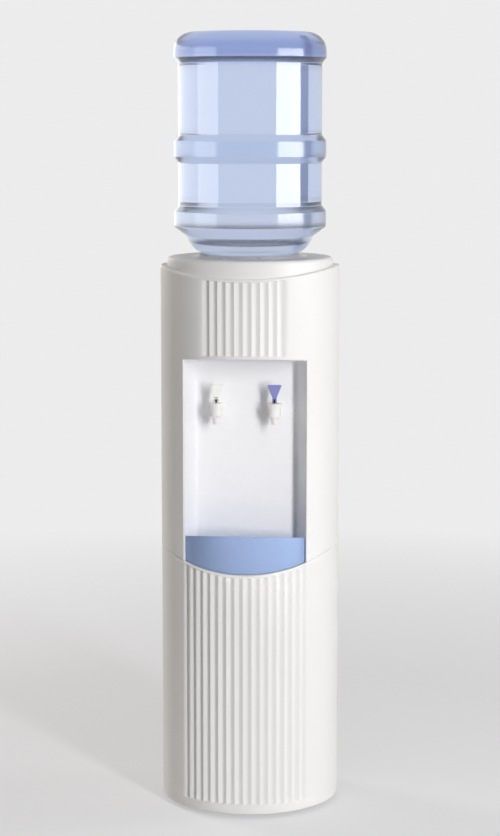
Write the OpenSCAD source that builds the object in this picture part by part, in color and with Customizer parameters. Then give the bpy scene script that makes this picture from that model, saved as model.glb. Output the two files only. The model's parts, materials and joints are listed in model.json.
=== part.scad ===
// Floor-standing round water cooler with an inverted five gallon bottle.
// Origin on the floor at the middle of the body. The front faces -Y and +Z is up.

/* [Shells] */
// Outside diameter of the two shells
body_d = 318; // [306:1:330]
// Wall thickness of the shells
shell_wall = 5; // [4.5:0.5:6]
// Height of the rubber feet under the shells
foot_h = 8; // [6:1:12]
// Diameter of the feet
foot_d = 28; // [24:1:32]
// Distance of the feet's middle from the outer surface
foot_inset = 34; // [30:1:40]
// Height of the lower shell at its front centre
lower_h = 430; // [415:1:440]
// Radius of the smile curve between the two shells, seen from the front
seam_arc_r = 364; // [340:1:420]
// Gap between the two shells
seam_gap = 0.3; // [0.2:0.1:0.5]
// Height of the upper rim above the bottom of the shells at the front centre
rim_h = 945; // [935:1:955]
// Radius of the smile curve of the upper rim, seen from the front
rim_arc_r = 744; // [650:1:900]
// Width of the ledge inside the top of the lower shell
sill_w = 16; // [14:0.5:17]
// Thickness of the ledges and flanges inside the shells
ledge_t = 3; // [2.5:0.5:4]

/* [Flutes] */
// Angle between neighbouring flutes
flute_pitch = 5.4; // [5.2:0.1:5.8]
// Depth of a flute
flute_depth = 2.5; // [1.5:0.1:3]
// Width of a flute at the surface
flute_w = 13; // [11:0.5:14]
// Flutes above the alcove
upper_flutes = 10; // [4:2:14]
// Flutes below the alcove
lower_flutes = 16; // [8:2:20]
// Plain band between a flute's end and the edge above or below it
flute_band = 4.5; // [3.5:0.5:8]
// Plain band under the lower flutes
flute_foot = 17; // [10:1:30]

/* [Alcove] */
// Width of the alcove at the outer surface
alcove_w = 216; // [206:1:220]
// Width of the alcove's back panel
alcove_back_w = 180; // [172:1:184]
// Distance of the back panel from the axis of the body
alcove_back = 72; // [71:0.5:74]
// Height of the alcove's ceiling above the floor where it meets the side walls in front
alcove_top = 810.5; // [805:0.5:812]
// Slope of the ceiling in degrees, rising to the front
ceiling_slope = 7.5; // [5:0.5:8]
// Wall thickness of the alcove liner
liner_wall = 2.5; // [2:0.5:3]
// Width of the flange behind the shell
liner_flange = 7; // [5:1:8]

/* [Drip tray] */
// Height of the tray's flat underside above the floor
tray_z = 456; // [455.5:0.5:458]
// Height of the tray's rim above the floor at the front centre
tray_top = 506; // [500:1:512]
// Slope of the rim in degrees, falling to the back
tray_slope = 11; // [8:0.5:12]
// Distance of the tray's front face behind the outer surface
tray_setback = 12; // [11:0.5:14]
// Gap between the tray and the walls beside and below it
tray_gap = 1; // [0.8:0.1:1.5]
// Wall thickness of the tray
tray_wall = 2.5; // [2:0.5:3]
// Depth of the grille's top below the rim's lowest corner at the back
grille_drop = 4; // [3:0.5:6]
// Thickness of the grille
grille_t = 3; // [2.5:0.5:4]
// Width of the slots in the grille
slot_w = 5; // [4:0.5:6]
// Distance between neighbouring slots
slot_pitch = 9; // [8:0.5:10]

/* [Lid and bottle seat] */
// Gap between the lid and the shell around it
lid_gap = 5; // [4:0.5:8]
// Height of the lid's top above the bottom of the shells
lid_h = 975; // [970:1:980]
// Radius of the lid's upper edge
lid_edge_r = 4.5; // [3:0.5:6]
// Wall thickness of the lid
lid_wall = 3; // [2.5:0.5:4]
// Depth of the lid's skirt
lid_skirt = 43; // [40:1:46]
// Diameter of the bottle seat's collar
seat_d = 194; // [188:1:200]
// Height of the collar above the lid
seat_rise = 5; // [4:0.5:6]
// Diameter of the mouth of the seat's cone
seat_mouth_d = 168; // [160:1:174]
// Wall thickness of the seat
seat_wall = 3; // [2.5:0.5:4]
// Length of the seat's tube around the bottle's neck
seat_tube = 78; // [74:1:82]

/* [Bottle] */
// Diameter of the bottle over its bands
bottle_d = 269; // [262:1:274]
// Diameter of the bottle between its bands
bottle_waist_d = 254; // [248:1:258]
// Wall thickness of the bottle
bottle_wall = 1.6; // [1.2:0.1:2]
// Length of the bottle from its shoulder's roll to its flat end
bottle_l = 378; // [372:1:386]
// Radius of the corner around the flat end
bottle_end_r = 32; // [26:1:36]
// Outside diameter of the neck
neck_d = 55; // [53:0.5:56]
// Length of the neck
neck_l = 58; // [55:1:60]
// Gap between the bottle and its seat
seat_clear = 0.4; // [0.3:0.05:0.5]
// Height of the lowest band's upper edge above the shoulder
band_low_h = 67; // [60:1:72]
// Length of the lower waist
waist_low_l = 75; // [70:1:78]
// Width of the middle band
band_w = 28; // [24:1:32]
// Length of the upper waist
waist_high_l = 124; // [118:1:126]
// Slope of the shoulder above the seat in degrees
shoulder_slope = 40; // [36:1:46]
// Height of the step from a band to a waist
band_step = 10; // [8:0.5:11]

/* [Faucets] */
// Distance of each faucet from the middle of the panel
faucet_x = 51; // [46:1:56]
// Distance of the spout's axis in front of the panel
faucet_reach = 33; // [30:1:35]
// Height of the shank's axis above the floor
faucet_z = 719; // [700:1:725]
// Diameter of the shank
shank_d = 16; // [15:0.5:16]
// Diameter of the barrel
barrel_d = 23; // [22:0.5:24]
// Diameter of the spout
spout_d = 10.6; // [10:0.2:12]
// Diameter of the bonnet
bonnet_d = 26; // [25:0.5:28]
// Width of the paddle at its top
paddle_w = 24.5; // [20:0.5:28]
// Height of the paddle's top above the bonnet
paddle_h = 32; // [28:1:36]
// Width of the lever's foot
foot_w = 8; // [7.5:0.5:9]
// Diameter of the valve stem
stem_d = 3.6; // [3:0.2:4]
// Diameter of the lever's pin
pin_d = 2.4; // [2:0.1:2.6]

/* [Cold tank] */
// Thickness of the insulation beside the evaporator
foam_wall = 8.6; // [6:0.2:12]
// Wall thickness of the tank
tank_wall = 1.2; // [1:0.1:1.5]
// Thickness of the insulation under the tank
foam_bottom = 18; // [16:1:20]
// Space left between the insulation and the front of the shell
foam_clear = 22; // [18:1:28]
// Height of the shelf under the insulation above the floor
shelf_z = 821; // [820:0.5:823]
// Height of the tank's rim above the floor
tank_top = 938; // [936:0.5:938]
// Diameter of the evaporator tube
evap_tube_d = 8; // [6:0.5:8]
// Turns of the evaporator tube
evap_turns = 5; // [3:1:6]
// Distance between neighbouring turns
evap_pitch = 12; // [10:0.5:12]

/* [Cooling circuit] */
// Diameter of the compressor's shell
comp_d = 144; // [136:1:150]
// Height of the compressor's shell
comp_h = 146; // [135:1:160]
// Height of the grommets under the compressor
grommet_h = 12; // [10:1:15]
// Distance between the grommets from side to side
comp_pitch_x = 128; // [124:1:132]
// Distance between the grommets from front to back
comp_pitch_y = 104; // [100:1:110]
// Diameter of the condenser's tube
cond_tube_d = 4.8; // [4:0.2:6]
// Width of the condenser between the ends of its straight runs
cond_w = 138; // [120:2:144]
// Distance between neighbouring runs of the condenser
cond_pitch = 36; // [30:1:38]
// Straight runs of the condenser
cond_runs = 16; // [8:2:16]
// Height of the condenser's lowest run above the floor
cond_z = 250; // [240:5:280]
// Diameter of the condenser's wires
wire_d = 1.6; // [1.4:0.1:2]
// Distance between neighbouring wires
wire_pitch = 12; // [10:1:14]
// Diameter of the drier
drier_d = 19; // [16:1:20]

/* [Rear panel] */
// Depth of the rear panel inside the back of the body
rear_recess = 51; // [48:0.5:54]
// Distance of the rear opening's edge from the shell's inner surface beside the panel
rear_edge = 2.8; // [2.4:0.2:6]
// Thickness of the sheet steel
sheet_t = 1.2; // [1:0.1:1.5]
// Height of the bottom of the rear opening above the floor
rear_bottom = 36; // [32:1:40]
// Height of the top of the rear opening above the floor
rear_top = 930; // [925:1:932]
// Louvres in each group
louvres = 8; // [4:1:9]
// Distance between neighbouring louvres
louvre_pitch = 11; // [10:0.5:12]
// Length of a louvre
louvre_l = 96; // [80:1:110]
// Diameter of the thermostat's knob
knob_d = 22; // [18:1:26]

/* [Hidden] */
$fn = 96;
body_r = body_d / 2;
inner_r = body_r - shell_wall;
fit = 0.3;
far = 400;
sink = 1;
rear_y = body_r - rear_recess;
rear_half = sqrt(pow(inner_r, 2) - pow(rear_y, 2)) - rear_edge;
shell_z = foot_h;
foot_r = body_r - foot_inset;
foot_stud = 7;
foot_chamfer = 3;
seam_z = shell_z + lower_h;
seam_c = seam_z + seam_arc_r;
sill_drop = 1.5;
rim_z = shell_z + rim_h;
rim_c = rim_z + rim_arc_r;
lid_z = shell_z + lid_h;
lid_r = inner_r - lid_gap;
lid_ledge_z = lid_z - lid_skirt;
lid_ledge_w = 11;
pan_r = inner_r - 1.5;
pan_rim_h = 16;
draft = atan((alcove_w - alcove_back_w) / 2 / (sqrt(pow(body_r, 2) - pow(alcove_w / 2, 2)) - alcove_back));
alcove_front = sqrt(pow(body_r, 2) - pow(alcove_w / 2, 2));
ceiling_back_z = alcove_top - (alcove_front - alcove_back) * tan(ceiling_slope);
liner_floor_z = tray_z - fit;
tray_r = body_r - tray_setback;
skirt_wall = 3;
tray_side = (alcove_back_w / 2) + (tray_r - alcove_back) * tan(draft);
tray_back_z = tray_top - (tray_r - alcove_back) * tan(tray_slope);
grille_z = tray_back_z - grille_drop - grille_t;
flute_cut_r = (pow(flute_w / 2, 2) + pow(flute_depth, 2)) / (2 * flute_depth);
flute_at = body_r - flute_depth + flute_cut_r;
cone_a = 30;
roll_r = 10.5;
seat_top = lid_z + seat_rise;
seat_cone_r = seat_mouth_d / 2;
bottle_cone_z = seat_top + seat_clear;
neck_r = neck_d / 2;
cap_wall = 3;
dimple_r = 30;
dimple_h = 5;
cap_h = 34;
seat_tube_r = neck_r + cap_wall + 1;
seat_tube_top = seat_top - (seat_cone_r - seat_tube_r) * tan(cone_a);
seat_tube_bottom = seat_tube_top - seat_tube;
neck_top = bottle_cone_z - (seat_cone_r - neck_r) * tan(cone_a) - 5;
neck_bottom = neck_top - neck_l;
cap_bottom = neck_bottom - 2;
probe_d = 16;
faucet_y = -alcove_back - faucet_reach;
bonnet_t = 7;
barrel_top = faucet_z + shank_d / 2;
bonnet_top = barrel_top + bonnet_t;
cavity_d = 18;
cavity_bottom = faucet_z - 7;
pin_z = bonnet_top + 4;
shank_back = -alcove_back + 26;
nut_t = 8;
supply_y = -26;
hose_d = 14;
hose_bore = 10;
outlet_bore = 7.6;
outlet_l = 4;
shank_hole_d = shank_d + 0.4;
taper_z = faucet_z - 17;
taper_h = 9;
post_x = inner_r - 23;
post_w = 12;
post_d = 24;
foam_back_gap = 1;
foam_r = (inner_r + rear_y - ledge_t - foam_back_gap - foam_clear) / 2;
tank_y = rear_y - ledge_t - foam_back_gap - foam_r;
evap_clear = 0.6;
tank_r = foam_r - foam_wall - evap_tube_d - 2 * evap_clear;
tank_bottom = shelf_z + sheet_t + foam_bottom;
tank_flange_r = tank_r + evap_tube_d + 4;
foam_top = tank_top - tank_wall;
foam_passage = 16;
sensor_d = 6;
sensor_hole_d = 8;
riser_hole_d = 12;
evap_r = tank_r + evap_tube_d / 2 + evap_clear;
evap_z = tank_bottom + 20;
evap_end_z = evap_z + evap_turns * evap_pitch;
foam_bore_r = foam_r - foam_wall;
pan_top = shell_z + sheet_t;
pan_ledge_z = pan_top + pan_rim_h + fit;
comp_plate_z = pan_top + grommet_h;
comp_plate_t = 2.5;
comp_z = comp_plate_z + comp_plate_t;
stud_d = 6;
stud_l = 10;
weld_h = 3;
relay_w = 40;
relay_t = 22;
relay_z = comp_z + 28;
relay_h = 46;
port_z = comp_z + comp_h * 0.6;
cond_setback = 17;
cond_y = rear_y + cond_setback;
cond_top = cond_z + (cond_runs - 1) * cond_pitch;
side_x = cond_w / 2 + 19;
riser_x = inner_r - 44;
riser_y = rear_y - 47;
capillary_d = 2.4;
suction_d = 8;
evap_side_x = sqrt(pow(foam_bore_r, 2) - pow(riser_y - tank_y, 2)) + 2;
tube_bend = 12;
drier_top = cond_z - 14;
drier_l = 74;
screw_d = 3.4;
screw_inset = 5;
screw_heights = [60, 270, 480, 690, 905];
rear_flange_w = 13;
pan_ledge_w = 8;
panel_gap = 1;
louvre_r = 3.5;
louvre_overlap = 1;
louvre_low_z = rear_bottom + 26;
louvre_high_z = cond_top + 34;
lid_hole_r = seat_cone_r + 6;
probe_bore = probe_d - 6;
probe_top = neck_bottom + 44;
cone_reach = 14.5;
shoulder_r = 4;
lower_band_r = 5;
baffle_drop = 26;
baffle_t = 3;
baffle_leg_r = 70;
baffle_leg_d = 6;
baffle_rise_wall = 1.8;
vent_d = 10;
vent_inset = 14;
clip_gap = 0.2;
clip_x = 4.5 * wire_pitch;
spout_l = 23;
spout_bore = 6.8;
spout_bottom = faucet_z - spout_l;
wire_overhang = 14;
thermostat_size = [40, 26, 30];
inlet_size = [28, 21];
inlet_flange = [50, 24, 2.5];
inlet_depth = 16;
clip_size = [14, 24];
knob_x = 62;
knob_shaft_d = 6;
knob_t = 9;
knob_z = 200;
inlet_x = -78;
sensor_y = rear_y - 58;
inlet_z = 92;

function smile(c, r, x) = c - sqrt(r * r - x * x);
function seam_at(x) = smile(seam_c, seam_arc_r, x);
function rim_at(x) = smile(rim_c, rim_arc_r, x);
function skin_y(x) = -sqrt(body_r * body_r - x * x);
function ceiling_at(y) = ceiling_back_z + (-y - alcove_back) * tan(ceiling_slope);
function arc(cx, cy, r, a0, a1, n) =
    [for (i = [0 : n]) [cx + r * cos(a0 + (a1 - a0) * i / n), cy + r * sin(a0 + (a1 - a0) * i / n)]];
function unit(v) = v / norm(v);
function turn(a, b) = acos(max(-1, min(1, unit(a) * unit(b))));

// Round ring between two radii and two heights.
module ring(ro, ri, z0, z1) {
    translate([0, 0, z0]) difference() {
        cylinder(r = ro, h = z1 - z0);
        translate([0, 0, -1]) cylinder(r = ri, h = z1 - z0 + 2);
    }
}

// Disc with its foot at one height.
module disc(r, z0, z1) {
    translate([0, 0, z0]) cylinder(r = r, h = z1 - z0);
}

// Block given by its lowest and highest corner.
module block(lo, hi) {
    translate(lo) cube(hi - lo);
}

// Cylinder along Y that gives an edge its smile curve, seen from the front.
module smile_cylinder(c, r) {
    translate([0, 0, c]) rotate([90, 0, 0]) cylinder(r = r, h = 2 * far, center = true, $fn = 240);
}

// Cylinder along Y.
module along_y(x, y0, y1, z, d) {
    translate([x, y0, z]) rotate([-90, 0, 0]) cylinder(d = d, h = y1 - y0);
}

// Straight rod between two points.
module rod(a, b, r) {
    d = b - a;
    translate(a) rotate([0, acos(d[2] / norm(d)), atan2(d[1], d[0])]) cylinder(r = r, h = norm(d));
}

// Tube along a list of corner points, with a true elbow at each corner.
module bent_tube(pts, r, bend) {
    last = len(pts) - 1;
    back = [for (i = [0 : last])
        i == 0 || i == last ? 0 : bend * tan(turn(pts[i] - pts[i - 1], pts[i + 1] - pts[i]) / 2)];
    for (i = [0 : last - 1]) {
        way = unit(pts[i + 1] - pts[i]);
        rod(pts[i] + way * back[i], pts[i + 1] - way * back[i + 1], r);
    }
    for (i = [1 : last - 1]) {
        d1 = unit(pts[i] - pts[i - 1]);
        d2 = unit(pts[i + 1] - pts[i]);
        inward = unit(d2 - (d2 * d1) * d1);
        c = pts[i] - d1 * back[i] + inward * bend;
        ax = -inward;
        az = cross(ax, d1);
        multmatrix([
            [ax[0], d1[0], az[0], c[0]],
            [ax[1], d1[1], az[1], c[1]],
            [ax[2], d1[2], az[2], c[2]],
            [0, 0, 0, 1]
        ]) rotate_extrude(angle = turn(d1, d2)) translate([bend, 0]) circle(r = r);
    }
}

// One unbroken round wire wound into a helix about the Z axis.
module helix(coil_r, wire_r, z0, pitch, turns, steps, sides) {
    rings = turns * steps;
    pts = [for (i = [0 : rings]) for (j = [0 : sides - 1])
        let (a = 360 * i / steps, b = 360 * j / sides, q = coil_r + wire_r * cos(b))
        [q * cos(a), q * sin(a), z0 + pitch * i / steps + wire_r * sin(b)]];
    walls = [for (i = [0 : rings - 1]) for (j = [0 : sides - 1])
        let (k = (j + 1) % sides, p = i * sides, n = p + sides) each [
            [p + j, p + k, n + k],
            [p + j, n + k, n + j]
        ]];
    polyhedron(points = pts, faces = concat(
        walls,
        [[for (j = [sides - 1 : -1 : 0]) j]],
        [[for (j = [0 : sides - 1]) rings * sides + j]]
    ));
}

// Round-ended cutter for one flute, from its lower to its upper end.
module flute(z0, z1) {
    r = flute_cut_r;
    end = flute_w / 2;
    rotate_extrude($fn = 48) {
        translate([0, z0 + end]) square([r, z1 - z0 - 2 * end]);
        translate([0, z0 + end]) intersection() {
            circle(r = r);
            translate([0, -r]) square([r, r]);
        }
        translate([0, z1 - end]) intersection() {
            circle(r = r);
            square([r, r]);
        }
    }
}

// Row of flutes about the middle of the front, each as long as the edges above and below allow.
module flute_row(count, upper) {
    for (i = [0 : count - 1]) {
        a = (i - (count - 1) / 2) * flute_pitch;
        x = body_r * sin(a);
        z0 = upper ? ceiling_at(skin_y(x)) + flute_band : shell_z + flute_foot;
        z1 = (upper ? rim_at(x) : seam_at(x)) - flute_band;
        translate([flute_at * sin(a), -flute_at * cos(a), 0]) flute(z0, z1);
    }
}

// Plan of the alcove, grown outwards by g.
module alcove_plan(g) {
    g2 = g / cos(draft);
    reach = body_r + 20;
    hw0 = alcove_back_w / 2 + g2 - g * tan(draft);
    hw1 = alcove_back_w / 2 + g2 + (reach - alcove_back) * tan(draft);
    polygon([[-hw0, -alcove_back + g], [hw0, -alcove_back + g], [hw1, -reach], [-hw1, -reach]]);
}

// Space inside the alcove above z0, grown outwards by g.
module alcove_space(g, z0) {
    intersection() {
        translate([0, 0, z0]) linear_extrude(height = far * 3) alcove_plan(g);
        translate([0, -alcove_back, ceiling_back_z + g / cos(ceiling_slope)])
            rotate([-ceiling_slope, 0, 0])
            block([-far, -far, -3 * far], [far, far, 0]);
    }
}

// Inner return flanges beside the rear opening between two heights.
module rear_flanges(z0, z1) {
    difference() {
        for (side = [-1, 1]) intersection() {
            disc(inner_r + 1, z0, z1);
            translate([side * rear_half, rear_y - ledge_t / 2, (z0 + z1) / 2])
                cube([2 * rear_flange_w, ledge_t, z1 - z0], center = true);
        }
        screw_places() along_y(0, rear_y - 2 * ledge_t, rear_y + 1, 0, screw_d + 0.2);
    }
}

// Shelf that closes the rear recess above or below.
module rear_shelf(z0) {
    intersection() {
        disc(inner_r + 1, z0, z0 + ledge_t);
        block([-far, rear_y - ledge_t, z0], [far, far, z0 + ledge_t]);
    }
}

module rear_opening() {
    block([-rear_half, rear_y - ledge_t, rear_bottom], [rear_half, far, rear_top]);
}

module lower_shell() {
    color("whitesmoke") intersection() {
        difference() {
            union() {
                difference() {
                    ring(body_r, inner_r, shell_z, rim_z);
                    rear_opening();
                }
                ring(inner_r + sink, inner_r - pan_ledge_w, pan_ledge_z, pan_ledge_z + ledge_t);
                rear_flanges(rear_bottom, rim_z);
                rear_shelf(rear_bottom - ledge_t);
                difference() {
                    intersection() {
                        ring(inner_r + sink, body_r - sill_w, shell_z, rim_z);
                        smile_cylinder(seam_c, seam_arc_r + sill_drop + ledge_t);
                    }
                    smile_cylinder(seam_c, seam_arc_r + sill_drop);
                    block([-far, rear_y - ledge_t, 0], [far, far, far * 3]);
                }
            }
            smile_cylinder(seam_c, seam_arc_r);
            flute_row(lower_flutes, false);
        }
        disc(body_r, shell_z, seam_at(body_r) + 1);
    }
}

module upper_shell() {
    color("whitesmoke") intersection() {
        difference() {
            union() {
                difference() {
                    ring(body_r, inner_r, seam_z, rim_z + 40);
                    rear_opening();
                }
                rear_flanges(seam_z, rear_top);
                rear_shelf(rear_top);
                ring(inner_r + 1, inner_r - lid_ledge_w, lid_ledge_z - ledge_t, lid_ledge_z);
            }
            smile_cylinder(rim_c, rim_arc_r);
            alcove_space(0, 0);
            flute_row(upper_flutes, true);
        }
        smile_cylinder(seam_c, seam_arc_r - seam_gap);
    }
}

module alcove_liner() {
    color("white") difference() {
        intersection() {
            union() {
                alcove_space(liner_wall, liner_floor_z - liner_wall);
                intersection() {
                    ring(inner_r, inner_r - liner_wall, seam_at(alcove_w / 2) + 8, far * 3);
                    alcove_space(liner_flange, 0);
                }
            }
            disc(inner_r - 0.2, 0, far * 3);
        }
        difference() {
            alcove_space(0, 0);
            disc(tray_r - skirt_wall - tray_gap, liner_floor_z - liner_wall, liner_floor_z);
        }
        for (side = [-1, 1]) translate([side * faucet_x, -alcove_back, 0])
            along_y(0, -sink, 2 * liner_wall, faucet_z, shank_hole_d);
    }
}

module base_pan() {
    color("dimgray") union() {
        difference() {
            disc(pan_r, shell_z, pan_top);
            for (a = [45 : 90 : 315]) rotate(a) translate([foot_r, 0, 0]) disc(foot_stud / 2 + 0.1, 0, far);
        }
        ring(pan_r, pan_r - sheet_t, shell_z, pan_top + pan_rim_h);
        grommet_places() disc(stud_d / 2, pan_top - sink / 2, comp_z + stud_l);
    }
}

module rubber_feet() {
    color("black") for (a = [45 : 90 : 315]) rotate(a) translate([foot_r, 0, 0]) {
        rotate_extrude() polygon([
            [0, 0], [foot_d / 2 - foot_chamfer, 0], [foot_d / 2, foot_chamfer], [foot_d / 2, shell_z],
            [foot_stud / 2, shell_z], [foot_stud / 2, pan_top], [foot_stud / 2 + 2, pan_top + 1],
            [foot_stud / 2, pan_top + 5], [0, pan_top + 5]
        ]);
    }
}

// Places a louvre at each height of both groups.
module louvre_places() {
    for (z0 = [louvre_low_z, louvre_high_z]) for (i = [0 : louvres - 1])
        translate([0, rear_y + sheet_t, z0 + i * louvre_pitch + louvre_r]) children();
}

module rear_panel() {
    edge = rear_half - panel_gap;
    half = louvre_l / 2;
    slot = half - 2;
    y0 = rear_y - 1;
    y1 = rear_y + sheet_t + 2;
    color("lightgray") difference() {
        union() {
            block([-edge, rear_y, rear_bottom + panel_gap], [edge, rear_y + sheet_t, rear_top - panel_gap]);
            louvre_places() intersection() {
                rotate([0, 90, 0]) cylinder(r = louvre_r, h = louvre_l, center = true, $fn = 32);
                block([-louvre_l, -0.1, louvre_overlap - 4], [louvre_l, louvre_r, louvre_r]);
            }
        }
        louvre_places() {
            block([-slot, -sheet_t - 1, -5], [slot, 1.6, -0.5]);
            block([-slot, 0, -5], [slot, louvre_r - sheet_t + 0.1, -1.5]);
        }
        screw_places() along_y(0, y0, y1, 0, screw_d + 0.6);
        along_y(knob_x, y0, y1, knob_z, knob_shaft_d + 2.4);
        block([inlet_x - inlet_size[0] / 2, y0, inlet_z - inlet_size[1] / 2],
            [inlet_x + inlet_size[0] / 2, y1, inlet_z + inlet_size[1] / 2]);
        for (z = [cond_z, cond_top]) along_y(-side_x, y0, y1, z, cond_tube_d + 4);
    }
}

module screw_places() {
    for (side = [-1, 1]) for (z = screw_heights)
        translate([side * (rear_half - screw_inset), 0, z]) children();
}

module rear_screws() {
    color("silver") screw_places() {
        translate([0, rear_y + sheet_t, 0]) rotate([-90, 0, 0]) cylinder(d1 = 7.6, d2 = 5.4, h = 2.2);
        along_y(0, rear_y - ledge_t - 3, rear_y + sheet_t, 0, screw_d);
    }
}

// Plan of the tray, drawn in by g.
module tray_plan(g) {
    s = (tray_gap + g) / cos(draft);
    intersection() {
        circle(r = tray_r - g, $fn = 240);
        translate([0, -alcove_back - tray_gap - g]) polygon([
            [-alcove_back_w / 2 + s - (tray_gap + g) * tan(draft), 0],
            [alcove_back_w / 2 - s + (tray_gap + g) * tan(draft), 0],
            [tray_side - s + 15, -tray_r + alcove_back - 15 / tan(draft) + (tray_gap + g)],
            [-tray_side + s - 15, -tray_r + alcove_back - 15 / tan(draft) + (tray_gap + g)]
        ]);
    }
}

module tray_top_cut() {
    translate([0, -tray_r, tray_top]) rotate([-tray_slope, 0, 0]) block([-far, -20, 0], [far, far, far]);
}

module drip_tray() {
    color("cornflowerblue") difference() {
        union() {
            translate([0, 0, tray_z]) linear_extrude(height = tray_top - tray_z) tray_plan(0);
            intersection() {
                translate([0, 0, seam_z]) linear_extrude(height = tray_z - seam_z + 2) difference() {
                    tray_plan(0);
                    circle(r = tray_r - skirt_wall, $fn = 240);
                }
                smile_cylinder(seam_c, seam_arc_r - tray_gap);
            }
        }
        translate([0, 0, tray_z + tray_wall]) linear_extrude(height = far) tray_plan(tray_wall + 2);
        translate([0, 0, grille_z]) linear_extrude(height = far) tray_plan(tray_wall);
        tray_top_cut();
    }
}

module drip_grille() {
    n = floor((alcove_back_w / 2 - 12) / slot_pitch);
    color("lightsteelblue") difference() {
        translate([0, 0, grille_z + 0.05]) linear_extrude(height = grille_t) tray_plan(tray_wall + 0.4);
        for (i = [-n : n]) {
            reach = sqrt(pow(tray_r - 12, 2) - pow(abs(i * slot_pitch) + slot_w, 2));
            mid = (reach + alcove_back + 8) / 2;
            slots(i * slot_pitch, -alcove_back - 9, -mid + 2);
            slots(i * slot_pitch, -mid - 2, -reach);
        }
    }
}

// Round-ended slot through the grille between two depths.
module slots(x, y0, y1) {
    if (y0 - y1 > slot_w) translate([x, 0, grille_z - 1]) linear_extrude(height = grille_t + 2) {
        translate([-slot_w / 2, y1 + slot_w / 2]) square([slot_w, y0 - y1 - slot_w]);
        for (y = [y1 + slot_w / 2, y0 - slot_w / 2]) translate([0, y]) circle(d = slot_w, $fn = 24);
    }
}

// Half profile with a rounded upper outer corner.
module rounded_half(r, z0, z1, edge) {
    translate([0, z0]) square([r - edge, z1 - z0]);
    translate([0, z0]) square([r, z1 - z0 - edge]);
    translate([r - edge, z1 - edge]) circle(r = edge);
}

module top_lid() {
    color("whitesmoke") difference() {
        rotate_extrude($fn = 180) difference() {
            rounded_half(lid_r, lid_ledge_z, lid_z, lid_edge_r);
            rounded_half(lid_r - lid_wall, lid_ledge_z - 1, lid_z - lid_wall, lid_edge_r - 1);
        }
        disc(lid_hole_r, lid_z - 10, lid_z + 10);
    }
}

module bottle_seat() {
    collar_r = seat_d / 2;
    t = seat_wall / cos(cone_a);
    color("white") rotate_extrude($fn = 180) difference() {
        union() {
            rounded_half(collar_r, lid_z, seat_top, 2);
            polygon([
                [0, seat_tube_bottom], [seat_tube_r + seat_wall, seat_tube_bottom],
                [seat_tube_r + seat_wall, seat_tube_top - t + seat_wall * tan(cone_a)],
                [seat_cone_r + 3, seat_top - t + 3 * tan(cone_a)], [seat_cone_r + 3, lid_z + 1],
                [0, lid_z + 1]
            ]);
        }
        polygon([
            [0, seat_tube_bottom - 1], [seat_tube_r, seat_tube_bottom - 1], [seat_tube_r, seat_tube_top],
            [seat_cone_r + 4, seat_top + 4 * tan(cone_a)], [0, seat_top + 4 * tan(cone_a)]
        ]);
    }
}

module feed_probe() {
    z0 = seat_tube_bottom;
    hub_t = 6;
    rib_t = 3;
    tip = 6;
    color("white") difference() {
        union() {
            ring(seat_tube_r, seat_tube_r - rib_t, z0, z0 + hub_t);
            for (a = [0 : 120 : 240]) rotate(a)
                block([probe_bore / 2 + 1, -rib_t / 2, z0], [seat_tube_r - 1, rib_t / 2, z0 + hub_t]);
            rotate_extrude() polygon([
                [0, z0], [probe_d / 2, z0], [probe_d / 2, probe_top - tip], [probe_d / 2 - 4, probe_top],
                [0, probe_top]
            ]);
        }
        disc(probe_bore / 2, z0 - 1, probe_top - tip - 2);
        for (a = [0 : 90 : 270]) rotate(a) along_y(0, 0, probe_d, probe_top - tip - 8, probe_bore / 2);
    }
}

// Half profile of the bottle from its neck to its flat end, drawn in by w.
function bottle_points(w) =
    let (
        band = bottle_d / 2 - w,
        waist = bottle_waist_d / 2 - w,
        cone_w = w / cos(cone_a),
        base = bottle_cone_z + cone_reach * tan(cone_a),
        roll_cx = seat_cone_r + cone_reach - roll_r * sin(cone_a),
        roll_cz = base + roll_r * cos(cone_a),
        notch_x = roll_cx + roll_r + shoulder_r,
        bends = shoulder_r + lower_band_r,
        slope_run = bottle_d / 2 - notch_x - lower_band_r + bends * sin(shoulder_slope),
        band_cz = roll_cz + slope_run * tan(shoulder_slope) + bends * cos(shoulder_slope),
        blend_x = neck_r + 3,
        z1 = base + band_low_h,
        z2 = z1 + band_step + waist_low_l,
        z3 = z2 + band_step + band_w,
        z4 = z3 + band_step + waist_high_l,
        top = base + bottle_l
    ) concat(
        [[neck_r - w, neck_bottom], [neck_r - w, neck_top],
            [blend_x - w, bottle_cone_z - (seat_cone_r - blend_x) * tan(cone_a) + cone_w]],
        arc(roll_cx, roll_cz, roll_r - w, cone_a - 90, 0, 5),
        arc(notch_x, roll_cz, shoulder_r + w, 180, 90 + shoulder_slope, 3),
        arc(band + w - lower_band_r, band_cz, lower_band_r - w, shoulder_slope - 90, 0, 3),
        [[band, z1], [waist, z1 + band_step], [waist, z2], [band, z2 + band_step],
            [band, z3], [waist, z3 + band_step], [waist, z4], [band, z4 + band_step]],
        arc(band + w - bottle_end_r, top - bottle_end_r, bottle_end_r - w, 0, 90, 8),
        [[dimple_r + 10, top - w], [dimple_r, top - w - dimple_h]]
    );

module bottle() {
    outer = bottle_points(0);
    inner = bottle_points(bottle_wall);
    axis_top = outer[len(outer) - 1][1];
    color([0.62, 0.7, 0.88, 0.6]) rotate_extrude($fn = 180) difference() {
        polygon(concat([[0, neck_bottom]], outer, [[0, axis_top]]));
        polygon(concat(
            [[0, neck_bottom - sink], [neck_r - bottle_wall, neck_bottom - sink]],
            inner,
            [[0, axis_top - bottle_wall]]
        ));
    }
}

module bottle_cap() {
    color("royalblue") difference() {
        disc(neck_r + cap_wall, cap_bottom, cap_bottom + cap_h);
        disc(neck_r + 0.1, neck_bottom - 0.1, far * 3);
        disc(probe_d / 2 + 0.6, cap_bottom - 1, neck_bottom + 1);
    }
}

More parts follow.
